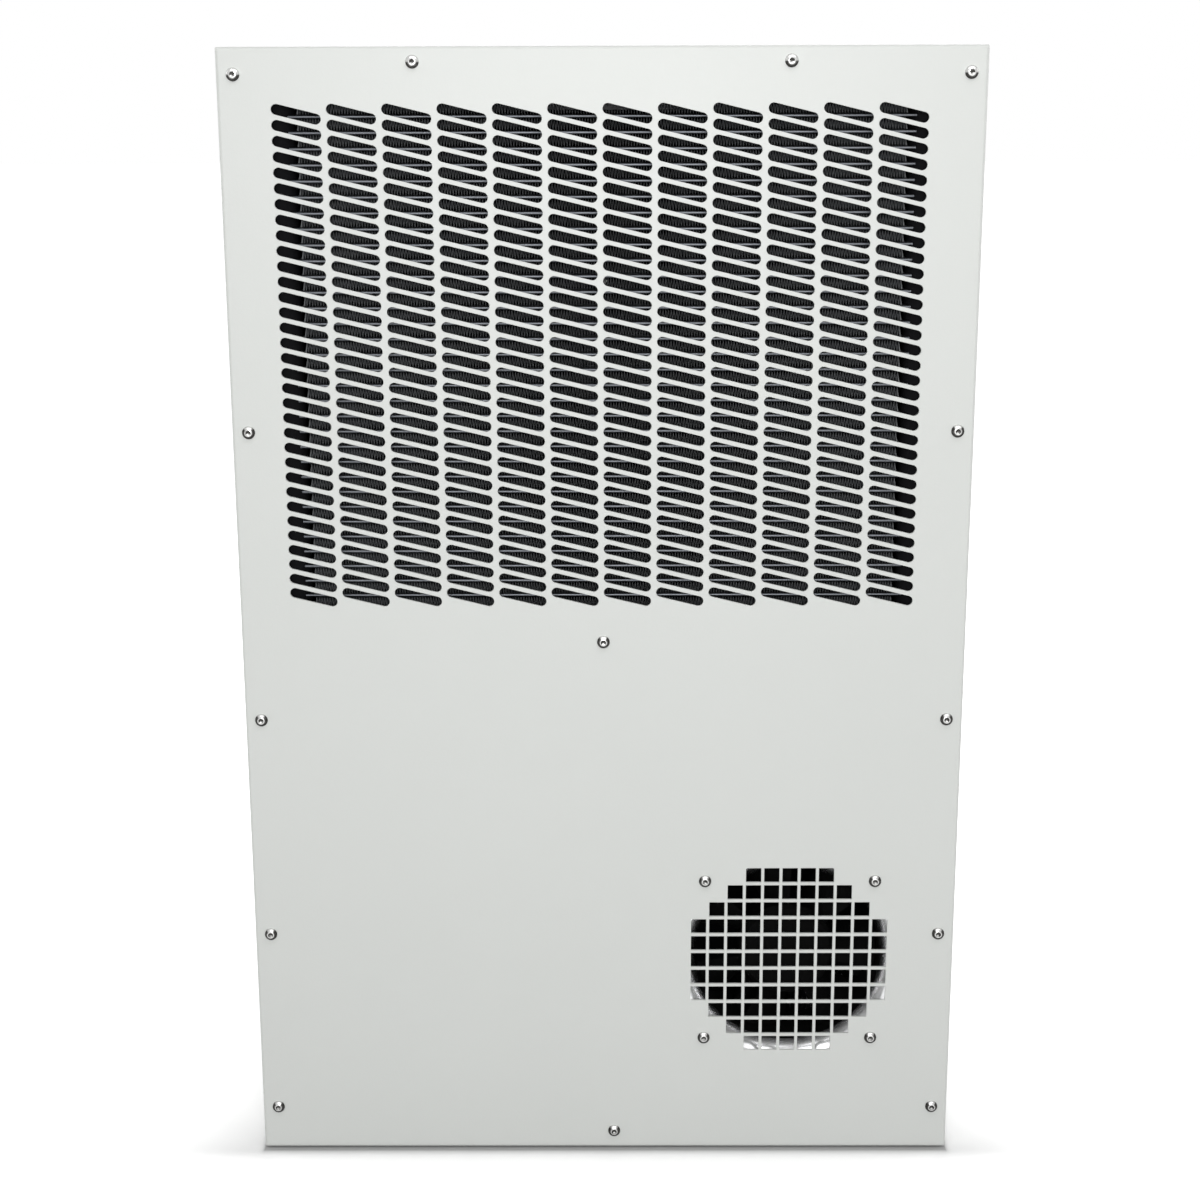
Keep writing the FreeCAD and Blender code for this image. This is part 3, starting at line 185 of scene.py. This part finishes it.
def makeSpunRing(name):
    # bright lip, painted dark towards the blades: painted shade deep in the mouth
    material, shader, wire, place = startMaterial(name, {"Metallic": 1.0})
    stain = noise(wire, place, 40.0, 2.0)
    fine = noise(wire, place, 1600.0, 1.0)
    across = wire.node("ShaderNodeVectorMath", {"operation": "SUBTRACT"}, {0: place, 1: spunRing["axis"]})
    across = wire.node("ShaderNodeVectorMath", {"operation": "MULTIPLY"}, {0: across, 1: (1.0, 0.0, 1.0)})
    radius = wire.node("ShaderNodeVectorMath", {"operation": "LENGTH"}, {0: across}, out="Value")
    # painted shade: the ring darkens towards the blades
    unshaded = ramp(wire, radius, (spunRing["fullShade"], spunRing["unshaded"]))
    feed(wire, shader,
         Base_Color=shades(wire, unshaded * (0.94 + fine * 0.06), spunRing["dustAndShade"], spunRing["bright"]),
         Roughness=0.22 + stain * 0.05,
         Normal=bump(wire, fine, 0.000002, 0.4))
    return material


def makeScrewSteel(name):
    # bright head, darkened where the painted shade attribute marks the recess and the lower flank
    material, shader, wire, place = startMaterial(name, {"Metallic": 1.0})
    painted_shade = wire.node("ShaderNodeAttribute", {"attribute_name": "painted_shade"}, None, out="Fac")
    patch = noise(wire, place, 900.0, 3.0, 0.6)
    scratch = noise(wire, place, 3200.0, 2.0)
    # painted shade: the marked recess and flank turn to the near-black tone below
    shadeAmount = wire.maths("MINIMUM", painted_shade * (patch * 0.5 + 0.75), 1.0)
    unshaded = shades(wire, patch, (0.50, 0.50, 0.49), (0.74, 0.74, 0.73))
    feed(wire, shader,
         Base_Color=blend(wire, shadeAmount, unshaded, (0.035, 0.034, 0.032, 1)),
         Roughness=0.16 + patch * 0.1 + shadeAmount * 0.35,
         Normal=bump(wire, scratch, 0.00001, 0.5))
    return material


def makeSpangle(name):
    # galvanised sheet with its crystal pattern
    material, shader, wire, place = startMaterial(name, {"Metallic": 1.0})
    wobble = wire.node("ShaderNodeTexNoise", None, {"Vector": place, "Scale": 60.0}, out="Color")
    bent = wire.node("ShaderNodeVectorMath", {"operation": "MULTIPLY_ADD"},
                     {0: wobble, 1: (0.012, 0.012, 0.012), 2: place}, out=0)
    cells = wire.node("ShaderNodeTexVoronoi", None, {"Vector": bent, "Scale": 130.0}, out="Color")
    flake = wire.node("ShaderNodeSeparateColor", None, {0: cells}, out=0)
    fine = noise(wire, place, 1500.0, 1.0)
    feed(wire, shader,
         Base_Color=shades(wire, flake * 0.75 + fine * 0.25, (0.40, 0.41, 0.42), (0.62, 0.63, 0.64)),
         Roughness=0.54 + flake * 0.14 + fine * 0.06,
         Normal=bump(wire, flake * 0.6 + fine * 0.4, 0.00002, 0.5))
    return material


def makePlastic(name, dark, light, roughness, grain, depth, gloss):
    material, shader, wire, place = startMaterial(name, {"Specular IOR Level": gloss})
    skin = noise(wire, place, grain, 2.0, 0.55)
    cloud = noise(wire, place, 22.0, 3.0)
    feed(wire, shader,
         Base_Color=shades(wire, skin * 0.5 + cloud * 0.5, dark, light),
         Roughness=roughness + (skin - 0.5) * 0.2 + (cloud - 0.5) * 0.12,
         Normal=bump(wire, skin, depth, 0.7))
    return material


def makeFoam(name, dark, light):
    # closed-cell foam with open pores where it was cut
    material, shader, wire, place = startMaterial(name, {"Roughness": 0.95, "Specular IOR Level": 0.15})
    pores = wire.node("ShaderNodeTexVoronoi", {"feature": "DISTANCE_TO_EDGE"},
                      {"Vector": place, "Scale": 750.0}, out="Distance")
    deep = wire.node("ShaderNodeTexVoronoi", None, {"Vector": place, "Scale": 300.0}, out="Distance")
    cloud = noise(wire, place, 40.0, 3.0)
    tone = pores * 1.2 + cloud * 0.4
    feed(wire, shader,
         Base_Color=shades(wire, tone, dark, light),
         Normal=bump(wire, deep - pores * 0.8, 0.0004, 0.9))
    return material


def makeEnamel(name, dark, light):
    material, shader, wire, place = startMaterial(name, {"Coat Weight": 0.4, "Coat Roughness": 0.2})
    peel = noise(wire, place, 260.0, 2.0)
    dustAndShade = noise(wire, place, 45.0, 5.0, 0.7)
    feed(wire, shader,
         Base_Color=shades(wire, dustAndShade, dark, light),
         Roughness=0.28 + dustAndShade * 0.25,
         Normal=bump(wire, peel, 0.0001, 0.5))
    return material


def makeBoard(name):
    # solder mask with copper tracks under it
    material, shader, wire, place = startMaterial(name, {"Coat Weight": 0.5, "Coat Roughness": 0.15})
    flat = wire.node("ShaderNodeMapping", None, {"Vector": place, "Rotation": (math.pi / 2, 0, 0)}, out=0)
    tracks = wire.node("ShaderNodeTexBrick", {"offset": 0.37, "squash": 1.6}, {
        "Vector": flat, "Scale": 90.0, "Color1": (0, 0, 0, 1), "Color2": (0.4, 0.4, 0.4, 1),
        "Mortar": (1, 1, 1, 1), "Mortar Size": 0.035}, out="Fac")
    grain = noise(wire, place, 900.0, 1.0)
    feed(wire, shader,
         Base_Color=shades(wire, tracks * 0.8 + grain * 0.2, (0.012, 0.075, 0.03), (0.03, 0.16, 0.06)),
         Roughness=0.35 + grain * 0.15,
         Normal=bump(wire, tracks, 0.00006, 0.6))
    return material


finEdgeLight = {"front": -0.09765, "reach": 0.0006}  # plane of the condenser's front edges, and how deep the painted light on them goes


def makeFinCoat(name):
    # dark coating on thin fins, with painted light: the front edges are painted lighter where the lamps catch them
    material, shader, wire, place = startMaterial(name, {"Metallic": 0.1, "Specular IOR Level": 0.25})
    dustAndShade = noise(wire, place, 70.0, 4.0, 0.65)
    fine = noise(wire, place, 1800.0, 1.0)
    y = wire.node("ShaderNodeSeparateXYZ", None, {0: place}, out="Y")
    inside = ramp(wire, y, (finEdgeLight["front"], finEdgeLight["front"] + finEdgeLight["reach"]))
    coat = shades(wire, dustAndShade * 0.7 + fine * 0.3, (0.022, 0.024, 0.026), (0.045, 0.048, 0.052))
    # painted light: the lighter tone of the front edges
    edge = shades(wire, dustAndShade, (0.10, 0.105, 0.11), (0.20, 0.205, 0.21))
    feed(wire, shader,
         Base_Color=blend(wire, inside, edge, coat),
         Roughness=0.55 + dustAndShade * 0.25,
         Normal=bump(wire, fine, 0.00003, 0.5))
    return material


metals = {  # dark, light, roughness, grain scale, grain stretch, grain depth
    "stainless": ((0.55, 0.55, 0.54), (0.80, 0.80, 0.79), 0.20, 900.0, (1, 1, 1), 0.00002),
    "zincHardware": ((0.50, 0.50, 0.47), (0.74, 0.73, 0.69), 0.30, 700.0, (1, 1, 1), 0.00002),
    "tubeAluminium": ((0.07, 0.075, 0.085), (0.20, 0.21, 0.225), 0.42, 500.0, (0.05, 1, 1), 0.00003),
    "motorIron": ((0.10, 0.10, 0.105), (0.24, 0.24, 0.25), 0.48, 300.0, (1, 12, 1), 0.00004),
    "copper": ((0.42, 0.17, 0.09), (0.80, 0.42, 0.28), 0.28, 320.0, (1, 1, 0.1), 0.00002),
    "valveBrass": ((0.52, 0.36, 0.13), (0.80, 0.62, 0.30), 0.27, 500.0, (1, 1, 1), 0.00002),
    "capacitorCan": ((0.48, 0.49, 0.50), (0.74, 0.75, 0.76), 0.26, 600.0, (1, 1, 0.08), 0.00002),
}
plastics = {  # dark, light, roughness, grain scale, grain depth, gloss
    "blackRubber": ((0.012, 0.012, 0.012), (0.030, 0.030, 0.030), 0.68, 1400.0, 0.00003, 0.45),
    # the next three are black coating and plastic darkened far below their real tone: painted shade for the parts
    # seen deep behind the cover
    "headerBlackAndShade": ((0.003, 0.003, 0.004), (0.008, 0.008, 0.009), 0.8, 600.0, 0.00004, 0.1),
    "fanCastingBlackAndShade": ((0.0015, 0.0015, 0.0015), (0.005, 0.005, 0.005), 0.75, 500.0, 0.00005, 0.05),
    "fanPlasticBlackAndShade": ((0.0012, 0.0012, 0.0012), (0.004, 0.004, 0.004), 0.7, 1100.0, 0.00003, 0.04),
    "impellerPlastic": ((0.015, 0.015, 0.016), (0.040, 0.040, 0.042), 0.5, 900.0, 0.00003, 0.45),
    "blackPlastic": ((0.015, 0.015, 0.015), (0.045, 0.045, 0.045), 0.55, 700.0, 0.00005, 0.45),
    "lightPlastic": ((0.42, 0.43, 0.40), (0.58, 0.59, 0.55), 0.45, 800.0, 0.00003, 0.45),
}
looks = {
    "coverCoat": makePowderCoat("coverCoat"),
    "screwSteel": makeScrewSteel("screwSteel"),
    "zincPlate": makeSpangle("zincPlate"),
    "gasketFoam": makeFoam("gasketFoam", (0.010, 0.010, 0.010), (0.040, 0.040, 0.041)),
    "insulationFoam": makeFoam("insulationFoam", (0.018, 0.018, 0.019), (0.06, 0.06, 0.06)),
    "finCoat": makeFinCoat("finCoat"),
    "ringAluminium": makeSpunRing("ringAluminium"),
    "compressorEnamel": makeEnamel("compressorEnamel", (0.006, 0.006, 0.006), (0.030, 0.030, 0.030)),
    "board": makeBoard("board"),
}
for name, values in metals.items():
    looks[name] = makeMetal(name, *values)
for name, values in plastics.items():
    looks[name] = makePlastic(name, *values)
finishOf = {  # record slot: finish
    "cover_paint": "coverCoat", "case_paint": "coverCoat", "stainless": "stainless", "zinc_plate": "zincPlate",
    "zinc_hardware": "zincHardware", "gasket_foam": "gasketFoam", "insulation_foam": "insulationFoam",
    "black_rubber": "blackRubber", "tube_aluminium": "tubeAluminium", "fin_coating": "finCoat",
    "header_coating": "headerBlackAndShade", "fan_casting": "fanCastingBlackAndShade", "ring_aluminium": "ringAluminium",
    "fan_plastic": "fanPlasticBlackAndShade", "motor_iron": "motorIron", "impeller_plastic": "impellerPlastic",
    "compressor_paint": "compressorEnamel", "black_plastic": "blackPlastic", "copper": "copper",
    "valve_brass": "valveBrass", "board": "board", "light_plastic": "lightPlastic",
    "capacitor_can": "capacitorCan",
}
for part in frame["record"]["subparts"]:
    data = nodes[part["node"]].data
    data.materials.clear()
    data.materials.append(looks[finishOf[part["material_slot"]]])
print("finishes:", len(looks))


# geometry node trees

def startTree(name, inputs):
    tree = bpy.data.node_groups.new(name, "GeometryNodeTree")
    tree.interface.new_socket("Geometry", in_out="INPUT", socket_type="NodeSocketGeometry")
    for label, kind, value in inputs:
        socket = tree.interface.new_socket(label, in_out="INPUT", socket_type="NodeSocket" + kind)
        socket.default_value = value
    tree.interface.new_socket("Geometry", in_out="OUTPUT", socket_type="NodeSocketGeometry")
    wire = Wire(tree)
    entry = tree.nodes.new("NodeGroupInput")
    given = {socket.name: Wire(tree, socket) for socket in entry.outputs if socket.name}
    return tree, wire, given


def endTree(wire, geometry, look):
    real = wire.node("GeometryNodeRealizeInstances", None, {"Geometry": geometry})
    wire.node("GeometryNodeSetMaterial", None, {"Geometry": real, "Material": looks[look]})
    finish = wire.tree.nodes[-1]
    out = wire.tree.nodes.new("NodeGroupOutput")
    wire.tree.links.new(finish.outputs[0], out.inputs[0])


def growPiece(name, tree, values, seedPoints, body, replaced, smoothAngle):
    # runs the tree once and keeps the result as a plain mesh
    base = bpy.data.meshes.new(name + "Seed")
    base.from_pydata(seedPoints, [], [])
    piece = bpy.data.objects.new(name, base)
    bpy.context.scene.collection.objects.link(piece)
    modifier = piece.modifiers.new("tree", "NODES")
    modifier.node_group = tree
    for item in tree.interface.items_tree:
        if item.in_out == "INPUT" and item.name in values:
            modifier[item.identifier] = values[item.name]
    graph = bpy.context.evaluated_depsgraph_get()
    mesh = bpy.data.meshes.new_from_object(piece.evaluated_get(graph))
    piece.modifiers.remove(modifier)
    piece.data = mesh
    mesh.name = name
    bpy.data.meshes.remove(base)
    if smoothAngle:
        mesh.shade_smooth()
        mesh.set_sharp_from_angle(angle=math.radians(smoothAngle))
    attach(piece, body)
    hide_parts(*replaced)
    print(name, len(mesh.polygons), "faces")


def islandBoxes(node):
    # corners of each separate solid in a node
    work = bmesh.new()
    work.from_mesh(nodes[node].data)
    bmesh.ops.remove_doubles(work, verts=work.verts, dist=1e-6)
    left = set(work.verts)
    boxes = []
    while left:
        stack = [left.pop()]
        found = []
        while stack:
            vert = stack.pop()
            found.append(vert.co.copy())
            for edge in vert.link_edges:
                other = edge.other_vert(vert)
                if other in left:
                    left.remove(other)
                    stack.append(other)
        low = [min(co[k] for co in found) for k in range(3)]
        high = [max(co[k] for co in found) for k in range(3)]
        boxes.append((Vector(low), Vector(high)))
    work.free()
    return sorted(boxes, key=lambda box: tuple(round(value, 4) for value in box[0]))  # the same order each run


buttonHead = [(math.cos(math.radians(a)), 0.16 + 0.84 * math.sin(math.radians(a)) / math.sin(math.radians(62)))
              for a in (0, 11, 22, 33, 43, 53, 62)]
panHead = [(1.0, 0.5), (0.97, 0.7), (0.9, 0.85), (0.78, 0.95), (0.66, 1.0)]  # rings: share of radius and of height
screwForm = {"sides": 36, "rim": 0.86, "tip": 0.0004, "tipWidth": 0.8, "hair": 0.000001, "weld": 0.0000005}
paintedShadeOn = {  # painted shade and painted light on the screws: pairs of limits for slope of the flank, upward turn, height on the case and upturned recess wall
    "flank": (0.25, 0.42), "litUpper": (0.70, 0.95), "high": (0.45, 0.62), "highLit": 0.85,
    "litWall": (0.05, 0.45), "litShare": 0.1,
}


def makeScrewTree(name, rings, crossRecess):
    tree, wire, given = startTree(name, [
        ("Head Radius", "Float", 0.0038), ("Head Height", "Float", 0.0022), ("Recess", "Float", 0.0025),
        ("Recess Depth", "Float", 0.0014), ("Shank Radius", "Float", 0.00195), ("Shank Length", "Float", 0.01),
        ("Facing", "Float", 1.0)])
    radius = given["Head Radius"]
    height = given["Head Height"]

    def push(mesh, top, distance, scale=None):
        sockets = {"Mesh": mesh, "Offset Scale": distance, "Individual": False}
        if top:
            sockets["Selection"] = top
        lifted = wire.node("GeometryNodeExtrudeMesh", {"mode": "FACES"}, sockets, out="Mesh")
        newTop = Wire(tree, lifted.socket.node.outputs["Top"])
        if scale:
            lifted = wire.node("GeometryNodeScaleElements", {"domain": "FACE"},
                               {"Geometry": lifted, "Selection": newTop, "Scale": scale}, out=0)
        return lifted, newTop

    hair = screwForm["hair"]
    disc = wire.node("GeometryNodeMeshCircle", {"fill_type": "NGON"},
                     {"Vertices": screwForm["sides"], "Radius": radius}, out=0)
    head, top = push(disc, None, height * rings[0][1])
    for (wide, low), (narrow, high) in zip(rings, rings[1:]):
        head, top = push(head, top, height * (high - low), narrow / wide)
    head, top = push(head, top, hair, screwForm["rim"])

    # the inner ring takes the outline of the recess
    spot = wire.node("GeometryNodeInputPosition")
    x = wire.node("ShaderNodeSeparateXYZ", None, {0: spot}, out="X")
    y = Wire(tree, x.socket.node.outputs["Y"])
    z = Wire(tree, x.socket.node.outputs["Z"])
    angle = wire.maths("ARCTAN2", y, x)
    if crossRecess:
        lobe = wire.maths("POWER", wire.maths("ABSOLUTE", wire.maths("COSINE", angle * 2.0)), 5.0)
        reach = given["Recess"] * (lobe * 0.34 + 0.16)
    else:
        sector = wire.maths("FLOORED_MODULO", angle + math.pi, math.pi / 3) - math.pi / 6
        reach = given["Recess"] * 0.5 / wire.maths("COSINE", sector)
    outline = wire.node("ShaderNodeCombineXYZ", None, {
        "X": reach * wire.maths("COSINE", angle), "Y": reach * wire.maths("SINE", angle), "Z": z})
    head = wire.node("GeometryNodeSetPosition", None, {"Geometry": head, "Selection": top, "Position": outline})
    head, top = push(head, top, given["Recess Depth"] * -1.0, 0.6 if crossRecess else None)
    head, top = push(head, top, given["Recess Depth"] * -0.2, 0.3)

    # underside and shank grow the other way from the same ring
    under = wire.node("GeometryNodeFlipFaces", None, {0: disc})
    under, foot = push(under, None, hair, given["Shank Radius"] / radius)
    under, foot = push(under, foot, given["Shank Length"] - screwForm["tip"])
    under, foot = push(under, foot, screwForm["tip"], screwForm["tipWidth"])
    screw = wire.node("GeometryNodeJoinGeometry")
    for half in (head, under):
        tree.links.new(half.socket, screw.socket.node.inputs[0])
    screw = wire.node("GeometryNodeMergeByDistance", None, {"Geometry": screw, "Distance": screwForm["weld"]})

    # painted shade fills the recess
    inside = wire.maths("LESS_THAN", x * x + y * y, given["Recess"] * given["Recess"] * 0.4)
    deep = inside * wire.maths("LESS_THAN", z, height - given["Recess Depth"] * 0.5)
    screw = wire.node("GeometryNodeStoreNamedAttribute", {"data_type": "FLOAT", "domain": "POINT"},
                      {"Geometry": screw, "Name": "painted_shade", "Value": deep})
    spin = wire.node("FunctionNodeRandomValue", {"data_type": "FLOAT"}, {2: 0.0, 3: 6.28, "Seed": 7}, out=1)
    turned = wire.node("ShaderNodeCombineXYZ", None, {"X": given["Facing"] * (math.pi / 2), "Y": spin})
    placed = wire.node("GeometryNodeInstanceOnPoints", None, {
        "Points": given["Geometry"], "Instance": screw, "Rotation": turned})
    placed = wire.node("GeometryNodeRealizeInstances", None, {"Geometry": placed})

    # painted shade on the flank; its upper side is painted lighter, as if lit from above, and more so high on the
    # case
    normal = wire.node("GeometryNodeInputNormal", out=0)
    nx = wire.node("ShaderNodeSeparateXYZ", None, {0: normal}, out="X")
    nz = Wire(tree, nx.socket.node.outputs["Z"])
    tilt = wire.maths("SQRT", nx * nx + nz * nz)
    flank = ramp(wire, tilt, paintedShadeOn["flank"], (0.0, 1.0))
    above = ramp(wire, z, paintedShadeOn["high"], (0.0, paintedShadeOn["highLit"]))
    litUpper = ramp(wire, nz / (tilt + 0.001) + above, paintedShadeOn["litUpper"], (1.0, 0.0))
    shadeAmount = wire.node("GeometryNodeInputNamedAttribute", {"data_type": "FLOAT"}, {"Name": "painted_shade"}, out=0)
    shadeAmount = shadeAmount * ramp(wire, nz, paintedShadeOn["litWall"], (1.0, paintedShadeOn["litShare"]))  # the recess's lower wall is lit
    placed = wire.node("GeometryNodeStoreNamedAttribute", {"data_type": "FLOAT", "domain": "POINT"}, {
        "Geometry": placed, "Name": "painted_shade", "Value": wire.maths("MAXIMUM", shadeAmount, flank * litUpper)})
    endTree(wire, placed, "screwSteel")
    return tree


buttonTree = makeScrewTree("buttonScrew", buttonHead, False)
panTree = makeScrewTree("panScrew", panHead, True)
coverScrew = {"Head Radius": 0.0038, "Head Height": 0.0022, "Recess": 0.0028, "Recess Depth": 0.0012,
              "Shank Radius": 0.00195, "Facing": 1.0}
rearScrew = {"Head Radius": 0.0038, "Head Height": 0.0022, "Recess": 0.0046, "Recess Depth": 0.0011,
             "Shank Radius": 0.00195, "Facing": -1.0}


def placeScrews(name, tree, sizes, node):
    front = sizes["Facing"] > 0
    points = []
    for low, high in islandBoxes(node):
        seat = low.y + sizes["Head Height"] if front else high.y - sizes["Head Height"]
        points.append(((low.x + high.x) / 2, seat, (low.z + high.z) / 2))
        sizes["Shank Length"] = high.y - seat if front else seat - low.y
    growPiece(name, tree, sizes, points, "case", (node,), 40)


placeScrews("coverButtonScrews", buttonTree, dict(coverScrew), "cover_screws")
placeScrews("fanButtonScrews", buttonTree, dict(coverScrew), "fan_screws")
placeScrews("rearPanScrews", panTree, dict(rearScrew), "rear_screws")


finSizes = {"Fin Pitch": 0.0016, "Foil": 0.0008, "Depth": 0.0155}  # foil as measured upright, at the crests


def makeFinTree():
    # one folded strip of foil between every two tubes
    tree, wire, given = startTree("foldedFins", [
        ("Length", "Float", 0.35), ("Height", "Float", 0.0076), ("Depth", "Float", 0.0155),
        ("Foil", "Float", 0.0008), ("Fin Pitch", "Float", 0.0016)])
    folds = wire.maths("FLOOR", given["Length"] / given["Fin Pitch"]) * 2.0
    count = wire.node("FunctionNodeFloatToInt", {"rounding_mode": "ROUND"}, {0: folds + 1.0})
    line = wire.node("GeometryNodeMeshLine", {"mode": "OFFSET", "count_mode": "TOTAL"}, {"Count": count})
    index = wire.node("GeometryNodeInputIndex")
    even = wire.maths("MODULO", index, 2.0)
    spot = wire.node("ShaderNodeCombineXYZ", None, {
        "X": (index / folds - 0.5) * (given["Length"] - given["Foil"]),
        "Z": (even - 0.5) * (given["Height"] - given["Foil"])})
    line = wire.node("GeometryNodeSetPosition", None, {"Geometry": line, "Position": spot})
    curve = wire.node("GeometryNodeMeshToCurve", None, {0: line})
    curve = wire.node("GeometryNodeSetCurveNormal", {"mode": "Z_UP"}, {0: curve})
    band = wire.node("GeometryNodeCurvePrimitiveQuadrilateral", {"mode": "RECTANGLE"}, {
        "Width": given["Depth"], "Height": given["Foil"]})
    strip = wire.node("GeometryNodeCurveToMesh", None, {"Curve": curve, "Profile Curve": band, "Fill Caps": True})
    placed = wire.node("GeometryNodeInstanceOnPoints", None, {"Points": given["Geometry"], "Instance": strip})
    endTree(wire, placed, "finCoat")
    return tree


finTree = makeFinTree()
for core in ("condenser", "evaporator"):
    boxes = islandBoxes(core + "_fins")
    points = [tuple((low + high) / 2) for low, high in boxes]
    low, high = boxes[0]
    sizes = dict(finSizes)
    sizes["Length"] = high.x - low.x
    sizes["Height"] = high.z - low.z
    growPiece(core + "Fins", finTree, sizes, points, "case", (core + "_fins",), 0)


# camera, matched to the cover's outline in a square frame
cameraSet = {"place": (0.0044, -1.26383, 0.63978), "pitch": 13.556, "yaw": 0.316, "roll": -0.181, "lens": 59.676}
cameraData = bpy.data.cameras.new("camera")
cameraData.lens = cameraSet["lens"]
cameraData.sensor_width = 36.0
camera = bpy.data.objects.new("camera", cameraData)
bpy.context.scene.collection.objects.link(camera)
aim = Euler((math.radians(90 - cameraSet["pitch"]), 0, math.radians(cameraSet["yaw"])), "XYZ").to_matrix()
aim = aim @ Euler((0, 0, math.radians(cameraSet["roll"])), "XYZ").to_matrix()
camera.rotation_euler = aim.to_euler()
camera.location = cameraSet["place"]
bpy.context.scene.camera = camera

# floor, backdrop and light
studio = {
    "floorHalf": 30.0, "floorTone": 0.54, "floorSeen": 0.92, "sky": 0.285,
    "contact": 0.0025, "contactTone": 0.45,  # reach and tone of the painted shade at the foot
    "liftNear": 0.22, "nearArea": 0.00007, "nearAside": 0.0225,  # a painted glow brings the paper to white with distance, leaving a painted shadow near the cover
    "liftMid": 0.30, "midReach": 0.13, "liftFar": 0.5, "farReach": 1.6, "besideFall": 3.0, "underReach": 0.002,
    "lamps": {  # place, size, power and aim; the last three stand behind the cover and leave it alone
        "softbox": ((0.16, -0.9, 1.75), (2.0, 0.9), 9.6, (0.0, -0.1, 0.3)),
        "frontBox": ((0.02, -1.6, 0.75), (0.6, 0.6), 12.0, (0.0, -0.1, 0.5)),
        "backBox": ((0.15, 1.75, 1.1), (1.2, 1.2), 13.0, (0.0, 0.1, 0.4)),
        "leftBox": ((-1.6, 0.5, 0.95), (1.0, 1.0), 7.0, (0.0, 0.0, 0.35)),
        "rightBox": ((1.6, 0.5, 0.95), (1.0, 1.0), 7.0, (0.0, 0.0, 0.35)),
    },
}


def seenRay(wire):
    # 1 where the camera looks straight, by mirror or through glass
    ray = wire.node("ShaderNodeLightPath", out="Is Camera Ray")
    glossy = Wire(wire.tree, ray.socket.node.outputs["Is Glossy Ray"])
    through = Wire(wire.tree, ray.socket.node.outputs["Is Transmission Ray"])
    return wire.maths("MINIMUM", ray + glossy + through, 1.0)


def makeFloorLook():
    # white paper: a thin painted shade where the cover meets the floor, and a painted glow that lifts the rest to
    # white
    material = bpy.data.materials.new("floor")
    material.use_nodes = True
    tree = material.node_tree
    tree.nodes.clear()
    wire = Wire(tree)
    place = wire.node("ShaderNodeTexCoord", out="Object")
    x = wire.node("ShaderNodeSeparateXYZ", None, {0: place}, out="X")
    y = Wire(tree, x.socket.node.outputs["Y"])
    aside = wire.maths("MAXIMUM", wire.maths("ABSOLUTE", x) - cadBox[1][0], 0.0)
    inFront = wire.maths("MAXIMUM", cadBox[0][1] - y, 0.0)
    beside = wire.maths("MAXIMUM", y - cadBox[0][1], 0.0) * studio["besideFall"]
    behind = wire.maths("MAXIMUM", y - cadBox[1][1], 0.0)
    edge = wire.maths("SQRT", aside * aside + inFront * inFront + beside * beside)  # to the cover's lower edge
    foot = wire.maths("SQRT", aside * aside + inFront * inFront + behind * behind)  # to the footprint
    # painted contact shadow: the paper darkens close to the footprint
    touch = wire.maths("EXPONENT", (foot + aside) / -studio["contact"])
    tone = 1.0 - (1.0 - studio["contactTone"]) * touch
    seenTone = wire.node("ShaderNodeCombineColor", None, {k: tone * studio["floorSeen"] for k in range(3)})
    # painted glow lifts the paper to white, weakest near the cover's front edge, leaving a painted soft shadow
    # there
    near = inFront * inFront + aside * aside * studio["nearAside"]
    lift = studio["liftNear"] * (1.0 - wire.maths("EXPONENT", near / -studio["nearArea"]))
    lift = lift + studio["liftMid"] * (1.0 - wire.maths("EXPONENT", edge / -studio["midReach"]))
    lift = lift + studio["liftFar"] * wire.maths("MINIMUM", edge / studio["farReach"], 1.0)
    lift = lift * (1.0 - wire.maths("EXPONENT", foot / -studio["underReach"]))  # none under the case
    matte = wire.node("ShaderNodeBsdfDiffuse", None, {"Color": (*[studio["floorTone"]] * 3, 1)})
    paper = wire.node("ShaderNodeBsdfDiffuse", None, {"Color": seenTone})
    glow = wire.node("ShaderNodeEmission", None, {"Color": lift})
    lifted = wire.node("ShaderNodeAddShader", None, {0: paper, 1: glow})
    mixed = wire.node("ShaderNodeMixShader", None, {0: seenRay(wire), 1: matte, 2: lifted})
    wire.node("ShaderNodeOutputMaterial", None, {"Surface": mixed})
    return material


floorMesh = bpy.data.meshes.new("floor")
half = studio["floorHalf"]
floorMesh.from_pydata([(-half, -half, 0), (half, -half, 0), (half, half, 0), (-half, half, 0)], [], [(0, 1, 2, 3)])
floorMesh.materials.append(makeFloorLook())
floor = bpy.data.objects.new("floor", floorMesh)
bpy.context.scene.collection.objects.link(floor)

world = bpy.data.worlds.new("studio")
bpy.context.scene.world = world
world.use_nodes = True
world.node_tree.nodes.clear()
sky = Wire(world.node_tree)
white = sky.node("ShaderNodeBackground", None, {"Color": (1, 1, 1, 1), "Strength": 1.0})
soft = sky.node("ShaderNodeBackground", None, {"Color": (1, 1, 1, 1), "Strength": studio["sky"]})
both = sky.node("ShaderNodeMixShader", None, {0: seenRay(sky), 1: soft, 2: white})
sky.node("ShaderNodeOutputWorld", None, {"Surface": both})


def addLamp(name, place, size, power, aimAt):
    lamp = bpy.data.lights.new(name, "AREA")
    lamp.shape = "RECTANGLE"
    lamp.size, lamp.size_y = size
    lamp.energy = power
    holder = bpy.data.objects.new(name, lamp)
    holder.location = place
    holder.rotation_euler = (Vector(aimAt) - Vector(place)).to_track_quat("-Z", "Y").to_euler()
    holder.visible_camera = False
    bpy.context.scene.collection.objects.link(holder)


for name, (place, size, power, aimAt) in studio["lamps"].items():
    addLamp(name, place, size, power, aimAt)
bpy.context.scene.view_settings.view_transform = "Standard"
print("studio ready")
